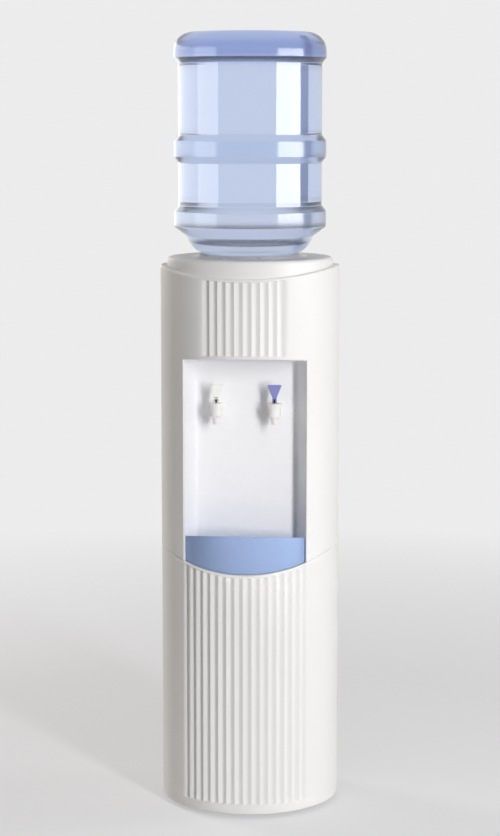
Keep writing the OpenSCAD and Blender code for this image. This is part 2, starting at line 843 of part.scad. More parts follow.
// Channel post from the pan to the shelf on one side.
module post(side) {
    t = sheet_t;
    color("silver") translate([side * post_x, 0, 0]) mirror([side < 0 ? 1 : 0, 0, 0]) {
        translate([0, 0, pan_top]) linear_extrude(height = shelf_z - pan_top) difference() {
            square([post_w, post_d], center = true);
            translate([-t, 0]) square([post_w, post_d - 2 * t], center = true);
        }
        block([-post_w / 2, -post_d / 2, pan_top], [post_w / 2, post_d / 2, pan_top + t]);
        block([-post_w / 2, -post_d / 2, shelf_z - t], [post_w / 2, post_d / 2, shelf_z]);
    }
}

module left_post() {
    post(-1);
}

module right_post() {
    post(1);
}

module tank_shelf() {
    color("silver") difference() {
        disc(post_x + post_w / 2 + 1, shelf_z, shelf_z + sheet_t);
        block([-far, rear_y - ledge_t - 1, 0], [far, far, far * 3]);
        outlet_places() disc(hose_d / 2 + 1, 0, far * 3);
        translate([knob_x, sensor_y, 0]) disc(sensor_hole_d / 2, 0, far * 3);
        for (side = [-1, 1]) translate([side * riser_x, riser_y, 0]) disc(riser_hole_d / 2, 0, far * 3);
    }
}

// Places a piece at the tank's outlet above each faucet's hose.
module outlet_places() {
    for (side = [-1, 1]) translate([side * faucet_x, supply_y, 0]) children();
}

module cold_tank() {
    color("lightsteelblue") union() {
        difference() {
            translate([0, tank_y, 0]) rotate_extrude() polygon([
                [0, tank_bottom], [tank_r, tank_bottom], [tank_r, foam_top], [tank_flange_r, foam_top],
                [tank_flange_r, tank_top], [tank_r - tank_wall, tank_top],
                [tank_r - tank_wall, tank_bottom + tank_wall], [0, tank_bottom + tank_wall]
            ]);
            outlet_places() disc(outlet_bore / 2, 0, far * 3);
        }
        outlet_places()
            ring(hose_bore / 2 - 0.1, outlet_bore / 2, shelf_z - outlet_l, tank_bottom + sink / 2);
    }
}

module tank_cover() {
    color("white") difference() {
        translate([0, tank_y, 0]) disc(tank_flange_r, tank_top + fit, tank_top + fit + 3);
        disc(seat_tube_r + seat_wall + 1, 0, far * 3);
    }
}

// Places pieces on a circle round the tank's axis.
module tank_circle(r, angles) {
    for (a = angles) translate([0, tank_y, 0]) rotate(a) translate([r, 0, 0]) children();
}

module tank_baffle() {
    z0 = neck_bottom - baffle_drop;
    floor_z = tank_bottom + tank_wall;
    riser_r = hose_bore / 2 + sink;
    color("white") {
        difference() {
            translate([0, tank_y, 0]) disc(tank_r - tank_wall - sink, z0, z0 + baffle_t);
            tank_circle(tank_r - vent_inset, [15 : 60 : 315]) disc(vent_d / 2, 0, far * 3);
            translate([-faucet_x, supply_y, 0]) disc(hose_bore / 2, 0, far * 3);
        }
        tank_circle(baffle_leg_r, [45 : 90 : 315]) disc(baffle_leg_d / 2, floor_z, z0 + sink / 2);
        translate([-faucet_x, supply_y, 0]) ring(riser_r, riser_r - baffle_rise_wall, floor_z, z0 + baffle_t);
    }
}

module tank_insulation() {
    z0 = shelf_z + sheet_t;
    color("cornsilk") difference() {
        translate([0, tank_y, 0]) disc(foam_r, z0, foam_top);
        translate([0, tank_y, 0]) disc(foam_bore_r, tank_bottom, far * 3);
        outlet_places() disc(hose_d / 2 + 0.5, 0, far * 3);
        translate([knob_x, sensor_y, 0]) disc(sensor_d / 2 + 0.4, 0, far * 3);
        rod([-far, riser_y, evap_z], [-evap_side_x + foam_passage, riser_y, evap_z], capillary_d / 2 + 1);
        rod([evap_side_x - foam_passage, riser_y, evap_end_z], [far, riser_y, evap_end_z], suction_d / 2 + 1);
    }
}

module evaporator_coil() {
    color("peru") translate([0, tank_y, 0])
        helix(evap_r, evap_tube_d / 2, evap_z, evap_pitch, evap_turns, 48, 6);
}

module compressor() {
    r = comp_d / 2;
    mid = comp_z + comp_h * 0.55;
    dome = comp_h * 0.28;
    color([0.1, 0.1, 0.11]) {
        rotate_extrude() polygon(concat(
            [[0, comp_z]],
            [for (a = [0 : 15 : 90]) [r - 22 + 20 * sin(a), comp_z + 24 - 24 * cos(a)]],
            [[r - 2, mid - weld_h], [r + 2, mid - weld_h], [r + 2, mid + weld_h], [r - 3, mid + weld_h]],
            [for (a = [0 : 15 : 90]) [(r - 3) * cos(a), comp_z + comp_h - dome + dome * sin(a)]]
        ));
        difference() {
            for (side = [-1, 1]) block(
                [-comp_pitch_x / 2 - 12, side * comp_pitch_y / 2 - 12, comp_plate_z],
                [comp_pitch_x / 2 + 12, side * comp_pitch_y / 2 + 12, comp_z + 0.2]
            );
            grommet_places() disc(stud_d / 2 + 0.8, 0, far);
        }
    }
}

module grommet_places() {
    for (x = [-1, 1]) for (y = [-1, 1]) translate([x * comp_pitch_x / 2, y * comp_pitch_y / 2, 0]) children();
}

module compressor_grommets() {
    h = grommet_h;
    color("black") grommet_places() rotate_extrude() polygon([
        [stud_d / 2 + 0.2, pan_top], [10, pan_top], [10, pan_top + h * 0.35], [8, pan_top + h * 0.5],
        [10, pan_top + h * 0.65], [10, pan_top + h], [stud_d / 2 + 0.2, pan_top + h]
    ]);
}

module compressor_nuts() {
    color("silver") grommet_places() difference() {
        union() {
            disc(8, comp_z + 0.2, comp_z + 1.6);
            translate([0, 0, comp_z + 1.6]) cylinder(d = 11.5, h = 5, $fn = 6);
        }
        disc(stud_d / 2 + 0.1, 0, far);
    }
}

module relay_cover() {
    back = -comp_d / 2 + 4;
    face = -comp_d / 2 - 2 - relay_t;
    hw = relay_w / 2;
    boss = relay_w * 0.3;
    color("black") difference() {
        union() {
            block([-hw, face, relay_z], [hw, back, relay_z + relay_h]);
            block([-boss, face - 3, relay_z + 6], [boss, face + sink, relay_z + relay_h - 6]);
        }
        disc(comp_d / 2 + 2.3, 0, far);
    }
}

module discharge_tube() {
    color("peru") bent_tube([
        [-comp_d / 2 + 2, 0, port_z], [-side_x, 0, port_z], [-side_x, 0, cond_top],
        [-side_x, cond_y, cond_top], [-cond_w / 2, cond_y, cond_top]
    ], cond_tube_d / 2, tube_bend);
}

module filter_drier() {
    r = cond_tube_d / 2;
    color("peru") {
        bent_tube([
            [-cond_w / 2, cond_y, cond_z], [-side_x, cond_y, cond_z], [-side_x, riser_y, cond_z],
            [-side_x, riser_y, drier_top - 1]
        ], r, tube_bend);
        translate([-side_x, riser_y, drier_top - drier_l]) rotate_extrude() polygon([
            [0, 0], [2, 0], [drier_d / 2, 9], [drier_d / 2, drier_l - 9], [r, drier_l], [0, drier_l]
        ]);
    }
}

module capillary_tube() {
    z0 = drier_top - drier_l;
    color("peru") bent_tube([
        [-side_x, riser_y, z0], [-side_x, riser_y, z0 - 16], [-riser_x, riser_y, z0 - 16],
        [-riser_x, riser_y, evap_z], [-evap_side_x, riser_y, evap_z]
    ], capillary_d / 2, 5);
}

module suction_tube() {
    color("peru") bent_tube([
        [comp_d / 2 - 2, 0, port_z], [riser_x, 0, port_z], [riser_x, riser_y, port_z],
        [riser_x, riser_y, evap_end_z], [evap_side_x, riser_y, evap_end_z]
    ], suction_d / 2, 10);
}

module condenser_coil() {
    r = cond_pitch / 2;
    color([0.12, 0.12, 0.13]) {
        for (i = [0 : cond_runs - 1]) translate([-cond_w / 2, cond_y, cond_z + i * cond_pitch])
            rotate([0, 90, 0]) cylinder(d = cond_tube_d, h = cond_w);
        for (i = [0 : cond_runs - 2]) {
            side = i % 2 == 0 ? 1 : -1;
            translate([side * cond_w / 2, cond_y, cond_z + (i + 0.5) * cond_pitch])
                rotate([90, side > 0 ? 90 : -90, 0])
                rotate_extrude(angle = 180) translate([r, 0]) circle(d = cond_tube_d);
        }
    }
}

module condenser_wires() {
    n = floor((cond_w / 2 - 4) / wire_pitch);
    gap = (cond_tube_d + wire_d) / 2;
    color([0.12, 0.12, 0.13]) for (i = [-n : n]) for (side = [-1, 1])
        translate([i * wire_pitch, cond_y + side * gap, cond_z - wire_overhang])
            cylinder(d = wire_d, h = cond_top - cond_z + 2 * wire_overhang);
}

module condenser_clips() {
    reach = cond_y - cond_tube_d / 2 - wire_d - clip_gap;
    w = clip_size[0] / 2;
    h = clip_size[1] / 2;
    foot = rear_y + sheet_t;
    color("silver") for (x = [-1, 1]) for (z = [cond_z + cond_pitch / 2, cond_top - cond_pitch / 2])
        translate([x * clip_x, 0, z]) {
            block([-w, foot, -h], [w, foot + sheet_t, h]);
            block([-w, foot, -sheet_t / 2], [w, reach, sheet_t / 2]);
            block([-w, reach - sheet_t, -w], [w, reach, w]);
        }
}

module thermostat() {
    w = thermostat_size[0] / 2;
    h = thermostat_size[2] / 2;
    color("gray") {
        block([knob_x - w, rear_y - thermostat_size[1], knob_z - h], [knob_x + w, rear_y - fit, knob_z + h]);
        difference() {
            along_y(knob_x, rear_y - 1, rear_y + sheet_t + 0.5, knob_z, knob_shaft_d + 2);
            along_y(knob_x, rear_y - 2, rear_y + 9, knob_z, knob_shaft_d + 0.1);
        }
    }
}

module thermostat_knob() {
    face = rear_y + sheet_t + 1;
    color("white") difference() {
        union() {
            along_y(knob_x, rear_y - 0.1, face + 1, knob_z, knob_shaft_d);
            translate([knob_x, face, knob_z]) rotate([-90, 0, 0])
                cylinder(d1 = knob_d, d2 = knob_d - 2, h = knob_t);
            translate([knob_x, face + knob_t, knob_z])
                block([-2, -sink, -knob_d / 2 + 1.5], [2, 3, knob_d / 2 - 1.5]);
        }
        for (a = [0 : 30 : 330]) translate([knob_x, face - sink, knob_z]) rotate([0, a, 0])
            translate([knob_d / 2 + 0.6, 0, 0]) rotate([-90, 0, 0])
            cylinder(r = 1.8, h = knob_t + 3, $fn = 16);
    }
}

module sensor_bulb() {
    color("peru") {
        bent_tube([
            [knob_x, rear_y - thermostat_size[1], knob_z + 6], [knob_x, sensor_y, knob_z + 6],
            [knob_x, sensor_y, shelf_z]
        ], 1.1, 6);
        translate([knob_x, sensor_y, 0]) disc(sensor_d / 2, shelf_z - sink, tank_bottom - 0.4);
    }
}

module power_inlet() {
    w = inlet_size[0] / 2 - 0.2;
    h = inlet_size[1] / 2 - 0.2;
    wall = 2;
    face = rear_y + sheet_t;
    pin_end = rear_y - 3;
    color([0.1, 0.1, 0.11]) translate([inlet_x, 0, inlet_z]) {
        difference() {
            union() {
                block([-w, rear_y - inlet_depth, -h], [w, face, h]);
                block([-inlet_flange[0] / 2, face, -inlet_flange[1] / 2],
                    [inlet_flange[0] / 2, face + inlet_flange[2], inlet_flange[1] / 2]);
            }
            block([wall - w, rear_y - inlet_depth + 3, wall - h],
                [w - wall, face + inlet_flange[2] + sink, h - wall]);
        }
        for (d = [[-7, -2], [0, 2], [7, -2]])
            block([d[0] - 1, rear_y - inlet_depth + 2, d[1] - 2], [d[0] + 1, pin_end, d[1] + 2]);
    }
}

module wiring_loom() {
    y = -comp_d / 2 - 14;
    turn_y = rear_y - inlet_depth - 10;
    loom_x = -104;
    color("black") bent_tube([
        [inlet_x, rear_y - inlet_depth, inlet_z], [inlet_x, turn_y, inlet_z], [loom_x, turn_y, inlet_z],
        [loom_x, y, inlet_z], [-relay_w / 2, y, inlet_z]
    ], 3, 9);
}

// Places a piece at a faucet: -1 on the left and 1 on the right.
module at_faucet(side) {
    translate([side * faucet_x, faucet_y, 0]) children();
}

module faucet_body() {
    r = barrel_d / 2;
    s = spout_d / 2;
    back = shank_back - faucet_y;
    wall_y = -alcove_back - faucet_y;
    color("white") difference() {
        union() {
            rotate_extrude() polygon(concat(
                [[0, spout_bottom], [s - 0.6, spout_bottom], [s, spout_bottom + 0.6]],
                [for (a = [0 : 15 : 90]) [r - (r - s - 0.4) * cos(a), taper_z + taper_h * sin(a)]],
                [[r, barrel_top], [0, barrel_top]]
            ));
            along_y(0, 0, back - 12, faucet_z, shank_d);
            along_y(0, back - 13, back, faucet_z, hose_bore - 0.2);
            along_y(0, wall_y - 3, wall_y, faucet_z, shank_d + 8);
            along_y(0, 0, wall_y - 2, faucet_z, shank_d - 1);
        }
        disc(cavity_d / 2, cavity_bottom, barrel_top + 1);
        disc(spout_bore / 2, spout_bottom - 1, faucet_z);
        along_y(0, 0, back + 1, faucet_z, spout_bore);
    }
}

module faucet_bonnet() {
    color("white") difference() {
        rotate_extrude() difference() {
            union() {
                rounded_half(bonnet_d / 2, barrel_top, bonnet_top, 2);
                translate([0, barrel_top - 4]) square([cavity_d / 2 - 0.1, 5]);
            }
            translate([0, barrel_top - 5]) square([6.6, bonnet_t + 2]);
            square([stem_d / 2 + 0.08, far * 3]);
        }
        for (a = [0 : 30 : 330]) rotate(a) translate([bonnet_d / 2 + 0.9, 0, 0])
            disc(1.6, barrel_top - sink, bonnet_top - 2.5);
    }
}

module lever() {
    t = 2.6;
    curve_r = 46;
    top = bonnet_top + paddle_h;
    neck_z = pin_z + 5.5;
    hw = foot_w / 2 - 0.3;
    difference() {
        union() {
            block([-hw, -5, bonnet_top + fit], [hw, 4.6, pin_z + 1.5]);
            translate([0, 0, pin_z + 1.5]) rotate([0, 90, 0]) cylinder(r = 3.6, h = 2 * hw, center = true);
            intersection() {
                translate([0, 10, 0]) rotate([90, 0, 0]) linear_extrude(height = 20) polygon([
                    [-hw, pin_z + 1], [hw, pin_z + 1], [hw, neck_z],
                    [paddle_w / 2, top - 1.5], [paddle_w / 2 - 1.5, top],
                    [-paddle_w / 2 + 1.5, top], [-paddle_w / 2, top - 1.5], [-hw, neck_z]
                ]);
                translate([0, -curve_r + 1.2, top - 8]) rotate([0, 90, 0]) difference() {
                    cylinder(r = curve_r + t / 2, h = 60, center = true, $fn = 180);
                    cylinder(r = curve_r - t / 2, h = 62, center = true, $fn = 180);
                }
            }
        }
        block([-stem_d / 2 - 0.4, -6, bonnet_top - 1], [stem_d / 2 + 0.4, 3.4, pin_z + 3.4]);
        translate([0, 0, pin_z]) rotate([0, 90, 0]) cylinder(d = pin_d + 0.1, h = 20, center = true);
    }
}

module lever_pin() {
    color("silver") translate([0, 0, pin_z]) rotate([0, 90, 0])
        cylinder(d = pin_d, h = foot_w + 0.6, center = true);
}

module valve_stem() {
    color([0.12, 0.12, 0.14]) difference() {
        disc(stem_d / 2, cavity_bottom + 4, pin_z + 1.9);
        translate([0, 0, pin_z]) rotate([0, 90, 0]) cylinder(d = pin_d, h = 20, center = true);
    }
}

module seat_cup() {
    z0 = cavity_bottom + fit;
    color("gainsboro") difference() {
        rotate_extrude() polygon(concat(
            [[0, z0]],
            [for (a = [0 : 15 : 90]) [4 + 2.6 * sin(a), z0 + 2.6 - 2.6 * cos(a)]],
            [[6.6, z0 + 5], [5, z0 + 6.7], [0, z0 + 6.7]]
        ));
        disc(stem_d / 2, cavity_bottom + 4, far * 3);
    }
}

module return_spring() {
    z0 = cavity_bottom + fit + 6.7 + 0.7;
    color("silver") helix(4.2, 0.5, z0, (bonnet_top - 3.8 - z0) / 4, 4, 12, 5);
}

module shank_nut() {
    y0 = liner_wall - alcove_back - faucet_y;
    color("silver") difference() {
        union() {
            along_y(0, y0, y0 + 1.5, faucet_z, 27);
            translate([0, y0 + 1.5, faucet_z]) rotate([-90, 0, 0]) cylinder(d = 27, h = nut_t, $fn = 6);
        }
        along_y(0, y0 - 1, y0 + nut_t + 3, faucet_z, shank_d + 0.2);
    }
}

// Hose from a faucet's shank up to the tank's outlet.
module supply_tube(side) {
    x = side * faucet_x;
    route = [[x, shank_back - 10, faucet_z], [x, supply_y, faucet_z], [x, supply_y, tank_bottom - fit]];
    color("ghostwhite") difference() {
        bent_tube(route, hose_d / 2, 9);
        bent_tube([route[0] - [0, 1, 0], route[1], route[2] + [0, 0, 1]], hose_bore / 2, 9);
    }
}

module left_faucet_body() {
    at_faucet(-1) faucet_body();
}

module left_bonnet() {
    at_faucet(-1) faucet_bonnet();
}

module left_lever() {
    color("ivory") at_faucet(-1) lever();
}

module left_lever_pin() {
    at_faucet(-1) lever_pin();
}

module left_valve_stem() {
    at_faucet(-1) valve_stem();
}

module left_seat_cup() {
    at_faucet(-1) seat_cup();
}

module left_return_spring() {
    at_faucet(-1) return_spring();
}

module left_shank_nut() {
    at_faucet(-1) shank_nut();
}

module left_supply_tube() {
    supply_tube(-1);
}

module right_faucet_body() {
    at_faucet(1) faucet_body();
}

module right_bonnet() {
    at_faucet(1) faucet_bonnet();
}

module right_lever() {
    color("slateblue") at_faucet(1) lever();
}

module right_lever_pin() {
    at_faucet(1) lever_pin();
}

module right_valve_stem() {
    at_faucet(1) valve_stem();
}

module right_seat_cup() {
    at_faucet(1) seat_cup();
}

module right_return_spring() {
    at_faucet(1) return_spring();
}

module right_shank_nut() {
    at_faucet(1) shank_nut();
}

module right_supply_tube() {
    supply_tube(1);
}

base_pan();
rubber_feet();
lower_shell();
upper_shell();
alcove_liner();
rear_panel();
rear_screws();
drip_tray();
drip_grille();
top_lid();
bottle_seat();
feed_probe();
bottle();
bottle_cap();
left_post();
right_post();
tank_shelf();
cold_tank();
tank_cover();
tank_baffle();
tank_insulation();
evaporator_coil();
compressor();
compressor_grommets();
compressor_nuts();
relay_cover();
discharge_tube();
filter_drier();
capillary_tube();
suction_tube();
condenser_coil();
condenser_wires();
condenser_clips();
thermostat();
thermostat_knob();
sensor_bulb();
power_inlet();
wiring_loom();
left_faucet_body();
left_bonnet();
left_lever();
left_lever_pin();
left_valve_stem();
left_seat_cup();
left_return_spring();
left_shank_nut();
left_supply_tube();
right_faucet_body();
right_bonnet();
right_lever();
right_lever_pin();
right_valve_stem();
right_seat_cup();
right_return_spring();
right_shank_nut();
right_supply_tube();
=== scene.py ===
import json
import math

import bmesh
import bpy
from mathutils import Matrix, Vector


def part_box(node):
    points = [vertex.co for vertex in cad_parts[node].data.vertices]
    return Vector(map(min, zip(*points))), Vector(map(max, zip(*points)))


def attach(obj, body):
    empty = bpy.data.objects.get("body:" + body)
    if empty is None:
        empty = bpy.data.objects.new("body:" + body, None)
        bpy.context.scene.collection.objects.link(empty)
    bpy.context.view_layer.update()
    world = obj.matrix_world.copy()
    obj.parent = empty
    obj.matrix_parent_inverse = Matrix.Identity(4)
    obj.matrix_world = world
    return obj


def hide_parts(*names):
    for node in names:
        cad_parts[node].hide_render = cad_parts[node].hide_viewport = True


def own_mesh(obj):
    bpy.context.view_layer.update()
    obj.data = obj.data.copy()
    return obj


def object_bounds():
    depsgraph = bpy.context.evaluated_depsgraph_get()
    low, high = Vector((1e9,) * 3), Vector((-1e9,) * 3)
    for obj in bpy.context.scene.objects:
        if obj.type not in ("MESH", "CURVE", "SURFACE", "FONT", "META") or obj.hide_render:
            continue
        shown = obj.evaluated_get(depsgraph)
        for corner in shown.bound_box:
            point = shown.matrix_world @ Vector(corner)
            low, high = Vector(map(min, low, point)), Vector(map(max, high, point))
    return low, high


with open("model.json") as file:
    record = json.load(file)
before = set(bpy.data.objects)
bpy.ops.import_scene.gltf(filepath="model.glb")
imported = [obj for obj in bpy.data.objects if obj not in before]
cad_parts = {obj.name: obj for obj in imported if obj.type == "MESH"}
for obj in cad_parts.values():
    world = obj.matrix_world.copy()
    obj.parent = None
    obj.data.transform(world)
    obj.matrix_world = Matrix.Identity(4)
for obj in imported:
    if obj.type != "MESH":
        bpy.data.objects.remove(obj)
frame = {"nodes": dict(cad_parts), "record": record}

mm = 0.001
tiny = 0.002 * mm  # points closer than this are one
near = 0.1 * mm  # allowance when points are picked by their place
root = 0.5 * mm  # how far a rib or ledge reaches into the wall that carries it
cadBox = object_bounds()  # the CAD model's own box, before anything is added
print("frame loaded:", len(frame["nodes"]), "nodes")

# Finishes

class Wire:
    # One socket of a finish; sums on it become Math nodes
    def __init__(self, finish, socket):
        self.finish = finish
        self.socket = socket

    def sum(self, operation, first, second):
        return self.finish.node("Math", {"operation": operation}, {0: first, 1: second})["Value"]

    def __add__(self, other):
        return self.sum("ADD", self, other)

    def __radd__(self, other):
        return self.sum("ADD", other, self)

    def __sub__(self, other):
        return self.sum("SUBTRACT", self, other)

    def __rsub__(self, other):
        return self.sum("SUBTRACT", other, self)

    def __mul__(self, other):
        return self.sum("MULTIPLY", self, other)

    def __rmul__(self, other):
        return self.sum("MULTIPLY", other, self)


class Finish:
    # A node material, or the world, that is wired through one method
    def __init__(self, name, world=None):
        self.material = world or bpy.data.materials.new(name)
        self.material.use_nodes = True
        self.tree = self.material.node_tree
        self.tree.nodes.clear()
        self.place = None

    def node(self, kind, settings=None, sockets=None):
        made = self.tree.nodes.new("ShaderNode" + kind)
        for key, value in (settings or {}).items():
            setattr(made, key, value)
        for key, value in (sockets or {}).items():
            named = [s for s in made.inputs if s.enabled and s.name == key]
            target = named[0] if named else made.inputs[key]
            if isinstance(value, Wire):
                self.tree.links.new(value.socket, target)
            else:
                target.default_value = value
        return {s.name: Wire(self, s) for s in made.outputs if s.enabled}

    def here(self):
        if self.place is None:
            self.place = self.node("TexCoord")["Object"]
        return self.place

    def axes(self):
        return self.node("SeparateXYZ", {}, {"Vector": self.here()})

    def noise(self, scale, detail=3.0, roughness=0.55, stretch=(1, 1, 1)):
        spot = self.node("Mapping", {}, {"Vector": self.here(), "Scale": stretch})["Vector"]
        sockets = {"Vector": spot, "Scale": scale, "Detail": detail, "Roughness": roughness}
        return self.node("TexNoise", {}, sockets)["Fac"]

    def ramp(self, value, low, high, bottom=0.0, top=1.0):
        sockets = {"Value": value, "From Min": low, "From Max": high, "To Min": bottom, "To Max": top}
        return self.node("MapRange", {"clamp": True}, sockets)["Result"]

    def blend(self, amount, first, second):
        sockets = {"Factor": amount, "A": first, "B": second}
        return self.node("Mix", {"data_type": "RGBA"}, sockets)["Result"]

    def bump(self, height, depth):
        return self.node("Bump", {}, {"Height": height, "Distance": depth, "Strength": 1.0})["Normal"]

    def done(self, sockets):
        shader = self.node("BsdfPrincipled", {}, sockets)["BSDF"]
        self.node("OutputMaterial", {}, {"Surface": shader})
        return self.material


def tone(red, green, blue):
    # An eight-bit screen colour as a linear one
    def linear(value):
        share = value / 255
        return share / 12.92 if share <= 0.04045 else ((share + 0.055) / 1.055) ** 2.4
    return (linear(red), linear(green), linear(blue), 1)


# A noise is its scale, detail and roughness; a zone is the part of it that counts
plastic = {
    "drift": (5, 2),
    "driftZone": (0.3, 0.7),
    "wear": (24, 5, 0.65),
    "wearZone": (0.35, 0.7),
    "dulling": 0.08,
    "grain": (1400, 2),
    "grainDepth": 0.015 * mm,
}


def mouldedPlastic(name, look):
    # Pigmented plastic with a fine spark-eroded grain, slow colour drift and a little wear
    f = Finish(name)
    drift = f.ramp(f.noise(*plastic["drift"]), *plastic["driftZone"])
    wear = f.ramp(f.noise(*plastic["wear"]), *plastic["wearZone"])
    return f.done({
        "Base Color": f.blend(drift, tone(*look["colour"]), tone(*look["drift"])),
        "Roughness": wear * plastic["dulling"] + look["roughness"],
        "Specular IOR Level": look.get("gloss", 0.5),
        "Normal": f.bump(f.noise(*plastic["grain"]), plastic["grainDepth"]),
    })


flow = {"wave": (9, 3, 0.5), "along": (1, 1, 0.15)}


def flowLines(f, depth):
    # Faint upright waves of clear moulded or blown plastic
    return f.bump(f.noise(*flow["wave"], flow["along"]), depth)


def clearPlastic(name, look):
    # Clear moulded plastic, faintly tinted
    f = Finish(name)
    return f.done({
        "Base Color": tone(*look["colour"]),
        "Roughness": look["roughness"],
        "IOR": look["ior"],
        "Transmission Weight": 1.0,
        "Normal": flowLines(f, look["flowDepth"]),
    })


def blownBlue(name, look):
    # Blown polycarbonate, duller at its bands, with faint flow lines; the deeper tint at the bands and the
    # closed end is painted shade, and the paler tint on the lower part, towards the neck, is painted light
    f = Finish(name)
    height = f.axes()["Z"]
    fade = look["fade"]
    plain = 0
    for low, high in look["waists"]:
        plain = plain + f.ramp(height, low - fade, low) * f.ramp(height, high, high + fade, 1, 0)
    # Painted light on the lower part, painted shade on the bands
    bands = f.blend(f.ramp(height, *look["lowZone"]), tone(*look["shoulder"]), tone(*look["band"]))
    banded = f.blend(plain, bands, tone(*look["colour"]))
    return f.done({
        # Painted shade towards the closed end
        "Base Color": f.blend(f.ramp(height, *look["endZone"]), banded, tone(*look["end"])),
        "Roughness": look["roughness"] - plain * look["polish"],
        "IOR": look["ior"],
        "Transmission Weight": 1.0,
        "Normal": flowLines(f, look["flowDepth"]),
    })


metal = {
    "scratch": (60, 4, 0.6),
    "along": (1, 1, 14),
    "depth": 0.02 * mm,
    "patch": (18, 4),
    "patchZone": (0.35, 0.7),
    "dulling": 0.2,
}


def bareMetal(name, look):
    # Rolled or drawn metal with a fine directional scratch
    f = Finish(name)
    scratch = f.noise(*metal["scratch"], metal["along"])
    patch = f.ramp(f.noise(*metal["patch"]), *metal["patchZone"])
    return f.done({
        "Base Color": f.blend(patch, tone(*look["colour"]), tone(*look["drift"])),
        "Metallic": 1.0,
        "Roughness": scratch * metal["dulling"] + look["roughness"],
        "Normal": f.bump(scratch, metal["depth"]),
    })


zinc = {"crystal": 90.0, "metallic": 0.85, "dulling": 0.16, "grain": (220, 3), "grainDepth": 0.02 * mm}


def spangledZinc(name, look):
    # Hot-dip galvanised sheet with its crystal spangle
    f = Finish(name)
    crystal = f.node("TexVoronoi", {}, {"Vector": f.here(), "Scale": zinc["crystal"]})
    shade = f.ramp(f.node("SeparateXYZ", {}, {"Vector": crystal["Color"]})["X"], 0, 1)
    return f.done({
        "Base Color": f.blend(shade, tone(*look["colour"]), tone(*look["drift"])),
        "Metallic": zinc["metallic"],
        "Roughness": shade * zinc["dulling"] + look["roughness"],
        "Normal": f.bump(f.noise(*zinc["grain"]), zinc["grainDepth"]),
    })


rubber = {
    "bloom": (40, 5),
    "bloomZone": (0.4, 0.75),
    "dulling": 0.12,
    "grain": (900, 3),
    "grainDepth": 0.03 * mm,
}


def softRubber(name, look):
    # Dull moulded rubber with a dusty bloom
    f = Finish(name)
    bloom = f.ramp(f.noise(*rubber["bloom"]), *rubber["bloomZone"])
    return f.done({
        "Base Color": f.blend(bloom, tone(*look["colour"]), tone(*look["drift"])),
        "Roughness": bloom * rubber["dulling"] + look["roughness"],
        "Normal": f.bump(f.noise(*rubber["grain"]), rubber["grainDepth"]),
    })


foam = {"cell": 420.0, "cellDepth": 0.2 * mm, "patch": (14, 4), "patchZone": (0.35, 0.7)}


def closedFoam(name, look):
    # Moulded polyurethane foam with its skin and small cells
    f = Finish(name)
    cells = f.node("TexVoronoi", {}, {"Vector": f.here(), "Scale": foam["cell"]})["Distance"]
    patch = f.ramp(f.noise(*foam["patch"]), *foam["patchZone"])
    return f.done({
        "Base Color": f.blend(patch, tone(*look["colour"]), tone(*look["drift"])),
        "Roughness": look["roughness"],
        "Normal": f.bump(cells, foam["cellDepth"]),
    })


paint = {
    "dust": (12, 5),
    "dustZone": (0.45, 0.8),
    "dulling": 0.15,
    "coat": 0.2,
    "peel": (260, 2),
    "peelDepth": 0.03 * mm,
}


def enamel(name, look):
    # Painted sheet or tube with a faint orange peel
    f = Finish(name)
    dust = f.ramp(f.noise(*paint["dust"]), *paint["dustZone"])
    return f.done({
        "Base Color": f.blend(dust, tone(*look["colour"]), tone(*look["drift"])),
        "Roughness": dust * paint["dulling"] + look["roughness"],
        "Coat Weight": paint["coat"],
        "Normal": f.bump(f.noise(*paint["peel"]), paint["peelDepth"]),
    })


